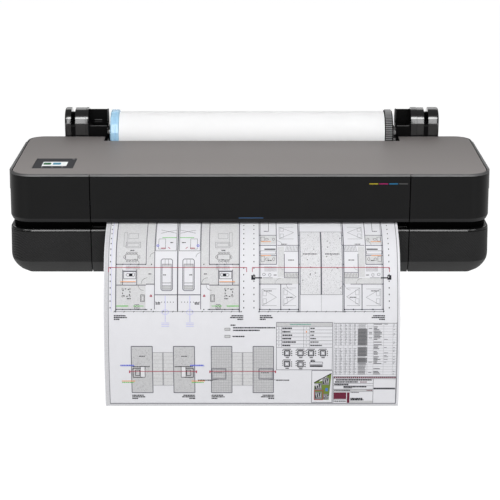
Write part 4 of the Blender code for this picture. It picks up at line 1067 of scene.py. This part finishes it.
def symbol_table(draw):
    """The key to the symbols, under a green heading."""
    left, right = 50.3, 165.7
    draw.fill("shade_dark", 1, (left, right, 174.5, 183.3))
    draw.frame("wall", 3, 0.6, (left, right, 82.5, 183.3), (119.5, 146, 94.5, 99.5))
    draw.text(78, 121, 179, 0.95, "grey_green")
    draw.line("wall", 3, 0.35, *((left, s, right, s) for s in (174.5, 167.7, 161, 153, 145.3, 138, 130.9)),
              *((x, 130.9, x, 174.5) for x in (61, 106.4, 118)))
    for k in range(6):
        s = 171 - 7.2 * k
        draw.text(62.5, 92, s, 2.1, ragged=0.45)
        draw.text(120, 146 if k > 3 else 134, s, 1.7, ragged=0.5)
        draw.fill("orange" if k == 1 else "shade_dark", 4, (111, 113, s - 1.8, s + 1.8))
        draw.fill("grey", 3, (54.8, 55.8, s - 1.8, s + 1.8))
    for x, s in ((72.5, 118.5), (100, 118.5), (121.8, 118.5), (146.2, 118.5), (72.2, 95.4), (100.2, 94.4)):
        draw.frame("ink", 3, 1.35, (x - 5.5, x + 5.5, s - 5.5, s + 5.5))
        draw.frame("wall", 3, 0.4, (x - 3.2, x + 3.2, s - 3.2, s + 3.2))
        draw.line("ink", 3, 0.9, (x - 8, s + 8.6, x + 8, s + 8.6))
        draw.line("ink", 3, 1.1, (x - 3, s - 9.5, x + 4, s - 9.5))
        for k in range(3):
            foot = s + 4.4 * k
            draw.fill("ink", 3, (x + 8, x + 10.5, foot - 5.5, foot - 3.5),
                      (x - 10, x - 7.8, foot - 3.5, foot - 1.8))
    draw.fill("ink", 3, (119.5, 146, 89, 92.5))
    for s in (103.5, 100.9):
        draw.text(121, 131, s, 0.9, ragged=0.2)


def schedule(draw):
    """The schedule: rows of small figures, with one tinted column."""
    left, right, low, rows, rng = 168.7, 298, 70.5, 38, draw.rng
    columns = (169.5, 178, 189, 198, 207, 217.5, 237.5, 250, 271, 290, 298)
    draw.line("wall", 3, 0.35, *((x, low, x, 183.3) for x in (left, right)))
    draw.line("ink", 3, 0.5, (left, 181.5, right, 181.5))
    draw.fill("dark_grey", 2, *((218, 237.2, *ends) for ends in ((135, 170), (112.5, 131.5), (98, 109))))
    draw.line("grey", 3, 0.2, *((x, low + 2, x, 181) for x in columns[1:-1]))
    for k in range(rows):
        s = 179.5 - (176.5 - low) * k / (rows - 1)
        if k % 2:
            draw.line("grey", 2, 0.2, (left, s - 1.3, right, s - 1.3))
        for j, (a, b) in enumerate(zip(columns, columns[1:])):
            wide = b - a
            if j < 5 and not 0.42 < k / rows < 0.46:
                draw.line("wall", 3, 0.55, (a + wide * 0.22, s, a + wide * (0.5 + 0.25 * rng.random()), s))
            elif j == 5:
                draw.line("ink", 3, 0.45 if s > 97 else 0.7, (a + 1.5, s, b - 1.5 - 3 * rng.random(), s))
            elif j == 6 and rng.random() < 0.3:
                draw.line("ink", 3, 0.6, (a + 3, s, b - 3, s))
            elif j == 7 and rng.random() < 0.82:
                draw.line("ink", 3, 0.75, (a + 0.8, s, a + wide * (0.35 + 0.5 * rng.random()), s))
            elif j > 7 and rng.random() < 0.35:
                draw.line("wall", 3, 0.6, (a + 1, s, a + wide * (0.3 + 0.3 * rng.random()), s))


def title_block(draw):
    """The title block: a maroon rule, rows of plain bars for its text, and plain maroon blocks."""
    left, right, low = 168.7, 298.5, 5.7
    draw.frame("wall", 3, 0.6, (left, right, low, 67.5))
    draw.line("maroon", 5, 3.2, *((left + 1 + 4.3 * k, 65.6, left + 4.2 + 4.3 * k, 65.6) for k in range(30)))
    draw.line("ink", 3, 0.3, (left, 62.6, right, 62.6))
    draw.line("wall", 3, 0.5, (251.5, low, 251.5, 62))
    draw.line("wall", 3, 0.4, *((left, s, end, s) for s, end in
                                ((52.2, 251.5), (46.8, 251.5), (39, right), (34, 251.5), (14.5, 200))))
    draw.fill("shade_dark", 1, (left, 251, 34.2, 38.8), (204, 251, 6.2, 12))
    draw.fill("maroon", 4, (169.8, 196, 16.2, 31.5), (197.6, 203, 7.5, 31.5))
    for start, end, s, weight, ink, ragged in (
            (174, 250, 60.2, 2.1, "ink", 0.05), (172, 220, 55.6, 2.1, "ink", 0),
            (224, 238, 55.4, 1.4, "maroon", 0), (171, 200, 49.8, 2.4, "ink", 0),
            (190, 238, 44.6, 2.1, "ink", 0), (190, 208, 42, 1.2, "ink", 0),
            (171, 204, 36.5, 0.9, "ink", 0), (238, 250, 36.5, 1.2, "maroon", 0),
            (252.5, 297, 40.6, 2.6, "ink", 0), (205, 232, 17.2, 2.2, "ink", 0.15),
            (205, 232, 14.4, 2.2, "ink", 0.15), (205, 222, 31.5, 0.7, "ink", 0),
            (170, 196, 11, 0.9, "ink", 0)):
        draw.text(start, end, s, weight, ink, ragged)


def site_plan(draw):
    """The small site plan: a green plot with four buildings, a pool and a red boundary."""
    draw.frame("wall", 3, 0.6, (123.8, 166.5, 8, 81))
    draw.quad("olive", 1, [(129, 14.5), (159.5, 14.5), (164.5, 74.5), (129, 54)])
    for left, right, low, high in ((130, 144.5, 37, 53), (146, 160, 49, 65), (130.5, 145, 15.5, 33),
                                   (148, 159, 15.5, 28)):
        draw.fill("dark_grey", 3, (left, right, low, high))
        for k in range(3):
            ridge = left + 4 * k
            draw.fill("ink", 4, (ridge + 1, ridge + 3.2, low + 2 + 3 * k, high - 8 + 3 * k))
            draw.fill("shade_dark", 5, (ridge + 3.2, ridge + 4.4, low + 5, high - 4))
    draw.frame("red", 5, 0.8, (129.5, 147.5, 14.5, 36.5))
    draw.fill("pool", 3, (152.5, 157.5, 34.5, 41.5))
    draw.fill("shade_dark", 4, (129, 137, 47, 51.5))
    draw.line("ink", 3, 1.2, (129, 54, 164.5, 74.5))


def printed_sheet():
    """The output sheet and the drawing on it."""
    mesh = bmesh.new()
    edges = ((-PAPER_HALF, 1), (PAPER_HALF, 1), (PAPER_HALF, -1), (-PAPER_HALF, -1))
    join_rings(mesh, [[mesh.verts.new(on_sheet(x, run, side * SHEET_THICK / 2)) for x, side in edges]
                      for run in SHEET_RUN])
    sheet = piece("plotted_sheet", mesh, "sheet", "paper", "output_sheet")

    draw = Drawing(Random(24), {})
    for floor, middle in ((ground_floor, -153), (upper_floor, 142.6)):
        for side in (-1, 1):
            floor(draw.plan(middle, side))
    for left, right in ((-295, -11), (0.7, 283)):
        draw.line("red", 5, 0.8, (left, 296.4, right, 296.4), *((x, 296.4, x, 286.9) for x in (left, right)))
    for left, right in ((-283, -22), (14, 271)):
        draw.line("ink", 3, 0.4, (left, 205.5, right, 205.5))
        ticks = [left + (right - left) * k / 13 for k in range(14)]
        draw.line("ink", 3, 0.7, *((x - 1, 204, x + 1, 207) for x in ticks))
    draw.fill("ink", 3, *((x - 0.9, x + 0.9, 212 + 13.6 * k, 215 + 13.6 * k)
                          for x in (-291.5, -17, 4, 282) for k in range(15)))
    for edge, way in ((-284, 1), (-18, -1), (16, 1), (273, -1)):
        caption(draw, edge, 197, way)
    for middle, rows in ((169, ((-44, -34, 177.5), (-39, 48, 172.1), (-39, 16, 166.7))),
                         (154, ((-40, -15, 154),))):
        draw.fill("shade_dark", 2, (-56, -45, middle - 2.5, middle + 2.5))
        draw.frame("ink", 3, 0.4, (-56, -45, middle - 2.5, middle + 2.5))
        for row in rows:
            draw.text(*row, 1.9)
    roofs(draw)
    for edge, way in ((-249, 1), (-118.5, -1), (-84, 1), (46, -1)):
        caption(draw, edge, 25, way)
    symbol_table(draw)
    schedule(draw)
    title_block(draw)
    site_plan(draw)
    draw.fill("margin", 1, (-303.5, 303.5, 0.6, 4.4), (-303.5, -296.5, 4.4, 416))
    draw.line("grey", 3, 1.3, (-295.5, 5.9, 299, 5.9))
    draw.line("grey", 3, 0.9, (-295.3, 5.7, -295.3, 416), (299.5, 5.7, 299.5, 416))
    draw.line("lavender", 3, 0.5, (-289, 206, -289, 416))

    prints = [draw.build(ink, f"drawing_{ink}") for ink in sorted(draw.inks)]
    for made in (sheet, *prints):
        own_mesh(made)


INKS = {
    "ink": (0.022, 0.022, 0.028), "grey": (0.24, 0.24, 0.26), "shade": (0.61, 0.61, 0.62),
    "shade_dark": (0.53, 0.53, 0.54), "pale_grey": (0.66, 0.66, 0.68), "margin": (0.58, 0.58, 0.60),
    "dark_grey": (0.22, 0.22, 0.23), "wall": (0.12, 0.12, 0.145), "paper_white": (0.72, 0.72, 0.74),
    "olive": (0.15, 0.215, 0.045), "pool": (0.08, 0.20, 0.52), "red": (0.38, 0.04, 0.075),
    "orange": (0.80, 0.33, 0.10), "grey_green": (0.16, 0.36, 0.30), "green": (0.16, 0.50, 0.12),
    "print_blue": (0.10, 0.13, 0.62), "lavender": (0.52, 0.52, 0.78), "maroon": (0.14, 0.022, 0.045),
}
MARKS = {"yellow": ((0.30, 0.24, 0.015), "yellow"), "magenta": ((0.24, 0.008, 0.085), "magenta"),
         "cyan": ((0.015, 0.12, 0.24), "cyan"), "grey": ((0.055, 0.055, 0.055), "black_ink")}


def make_inks():
    """Printed inks: flat, matt and slightly uneven; and the door's four moulded marks."""
    for name, colour in INKS.items():
        MATERIALS[name] = finish(f"printed {name}", colour, 0.8, specular=0.15, spread=0.08, mottle=400)
        SLOTS[name] = "paper"
    for name, (colour, slot) in MARKS.items():
        made = finish(f"moulded mark {name}", colour, 0.5, specular=0.15, spread=0.05)
        MATERIALS[f"mark_{name}"], SLOTS[f"mark_{name}"] = made, slot


# Display -----------------------------------------------------------------------------------
def display():
    """The display's bezel with a bright screen, two icons, three touch marks and the power button."""
    left, right = DISPLAY_LOW.x, DISPLAY_HIGH.x
    front, back = DISPLAY_LOW.y, DISPLAY_HIGH.y
    top = DISPLAY_HIGH.z
    refined("display_housing", "gloss", 0.0006)
    outlines = [rounded_rectangle(left + inset, right - inset, front + inset, back - inset, 0.0022)
                for inset in (0, 0, 0.0003, 0.0008)]
    heights = (DISPLAY_LOW.z, top - 0.0005, top - 0.0001, top)
    mesh = loft([[(x, y, z) for x, y in outline] for outline, z in zip(outlines, heights)])
    low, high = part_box("power_button")
    x, y, radius = (low.x + high.x) / 2, (low.y + high.y) / 2, (high.x - low.x) / 2
    mesh = boolean(mesh, turned_z([(top - 0.004, radius + 0.0004), (top + 0.01, radius + 0.0004)], x, y, 40))
    piece("display_bezel", mesh, "display", "bezel", "display_glass")
    shapes = [("display_screen", "screen", -0.4420, -0.3895, 0.0185, 0.0560, 0.0004, 0.00008),
              ("display_icon_settings", "icon_green", -0.4400, -0.4240, 0.0300, 0.0480, 0.0030, 0.00016),
              ("display_icon_media", "icon_blue", -0.4200, -0.4030, 0.0300, 0.0480, 0.0030, 0.00016)]
    shapes += [(f"touch_mark_{k + 1}", "label", -0.4415 + 0.0215 * k, -0.4385 + 0.0215 * k, 0.0085, 0.0120,
                0.0008, 0.0001) for k in range(3)]
    for name, finish_name, start, end, near, far, corner, lift in shapes:
        outline = rounded_rectangle(start, end, front + near, front + far, corner)
        piece(name, slab_z(outline, top - 0.0001, top + lift), "display", finish_name)
    steps = [(low.z, radius), (high.z - 0.0004, radius), (high.z - 0.0001, radius - 0.0003),
             (high.z, radius - 0.0008), (high.z - 0.0002, radius - 0.0012), (high.z - 0.0003, 0.0002)]
    piece("power_button_fine", turned_z(steps, x, y, 40), "button", "gloss", "power_button")


# Interior ----------------------------------------------------------------------------------
INTERIOR = {  # finish and rounding
    "base_pan": ("dark", 0.0008), "output_chute": ("deck", 0.0005), "print_platen": ("dark", 0.0008),
    "paper_guide": ("dark", 0.0004), "roll_trough": ("dark", 0.0006), "feed_motor": ("light_metal", 0.0008),
    "roller_post_left": ("dark", 0.0006), "roller_post_right": ("dark", 0.0006),
    "pinch_bar": ("light_metal", 0.0004), "carriage": ("dark", 0.0010), "printhead": ("gloss", 0.0006),
    "carriage_motor": ("light_metal", 0.0008), "ink_tray": ("dark", 0.0004),
    "cutter_rail": ("light_metal", 0.0006), "cutter": ("dark", 0.0008), "service_station": ("dark", 0.0008),
    "main_board": ("board", 0.0003), "power_supply": ("light_metal", 0.0008), "port_panel": ("gloss", 0.0004),
    "power_inlet": ("gloss", 0.0004), "idler_post": ("light_metal", 0.0005),
}
KEPT = {"paper_web": "paper", "drive_roller": "rubber", "drive_gear": "dark", "feed_motor_pinion": "dark",
        "pinch_roller": "rubber", "output_roller": "rubber", "guide_rod": "steel", "carriage_belt": "rubber",
        "drive_pulley": "light_metal", "idler_pulley": "light_metal", "encoder_strip": "film"}


def interior():
    for node, (finish_name, bevel) in INTERIOR.items():
        refined(node, finish_name, bevel)
    for node, finish_name in KEPT.items():
        source = frame["nodes"][node]
        source.data.materials.clear()
        source.data.materials.append(MATERIALS[finish_name])
    for ink in ("yellow", "magenta", "cyan", "black_ink"):
        colour = ink.split("_")[0]
        node = f"ink_cartridge_{colour}"
        refined(node, "gloss", 0.0010)
        low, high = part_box(node)
        middle = (low.x + high.x) / 2
        outline = rounded_rectangle(middle - 0.0070, middle + 0.0070, high.z - 0.040, high.z - 0.006, 0.0012)
        piece(f"ink_label_{colour}", slab_y(outline, low.y - 0.0002, low.y + 0.0002), "chassis", ink)


# Scene -------------------------------------------------------------------------------------
def studio():
    """A pale floor well below the hanging sheet, plain soft lights and the camera."""
    world = bpy.data.worlds.new("studio")
    bpy.context.scene.world = world
    world.use_nodes = True
    background = world.node_tree.nodes["Background"]
    background.inputs["Color"].default_value = (1.0, 1.0, 1.0, 1)
    background.inputs["Strength"].default_value = 0.20
    data = bpy.data.meshes.new("floor")
    size, low = 30, -0.9
    data.from_pydata([(-size, -size, low), (size, -size, low), (size, size, low), (-size, size, low)], [],
                     [(0, 1, 2, 3)])
    data.materials.append(finish("pale floor", (0.30, 0.30, 0.30), 0.9, specular=0.0, spread=0.01, mottle=0.5,
                                 glow=3.15))
    linked("floor", data)
    lights = [("top softbox", (0, -0.56, 1.3), (0, -0.18, 0.2), 3.2, 0.34, 0.5),
              ("back softbox", (0, 3.4, 2.7), (0, 0, 0.2), 4.4, 2.6, 46),
              ("front softbox", (0, -0.52, 0.85), (0, -0.27, 0.1), 2.2, 0.2, 8)]
    for side, name in ((-1, "left"), (1, "right")):
        lights += [(f"{name} strip", (side, -4.2, 2.2), (0.4 * side, 0.2, 0.25), 0.6, 4.9, 38),
                   (f"low {name} softbox", (2.1 * side, -2.2, -0.25), (0.45 * side, -0.15, 0.1), 0.65,
                    1.2, 3)]
    for name, place, target, width, height, power in lights:
        light = bpy.data.lights.new(name, "AREA")
        light.shape, light.size, light.size_y, light.energy = "RECTANGLE", width, height, power
        lamp = linked(name, light)
        lamp.location = place
        lamp.rotation_euler = (Vector(target) - Vector(place)).to_track_quat("-Z", "Y").to_euler()
        lamp.visible_camera = False
    camera = bpy.data.cameras.new("camera")
    camera.lens, camera.sensor_width = 107.84, 36
    eye = linked("camera", camera)
    eye.location = (0.0009, FRONT - 3.0207, TOP + 0.7526)
    eye.rotation_euler = (radians(90 - 16.87), 0, 0)
    bpy.context.scene.camera = eye
    bpy.context.scene.view_settings.view_transform = "Standard"


make_inks()
for side, name in ((-1, "left"), (1, "right")):
    upper_shell(side, name)
    lower_shell(side, name)
    roll_support(side, name)
front_door()
lower_panel()
top_plate()
feet()
spindle()
paper_roll()
printed_sheet()
display()
interior()
studio()
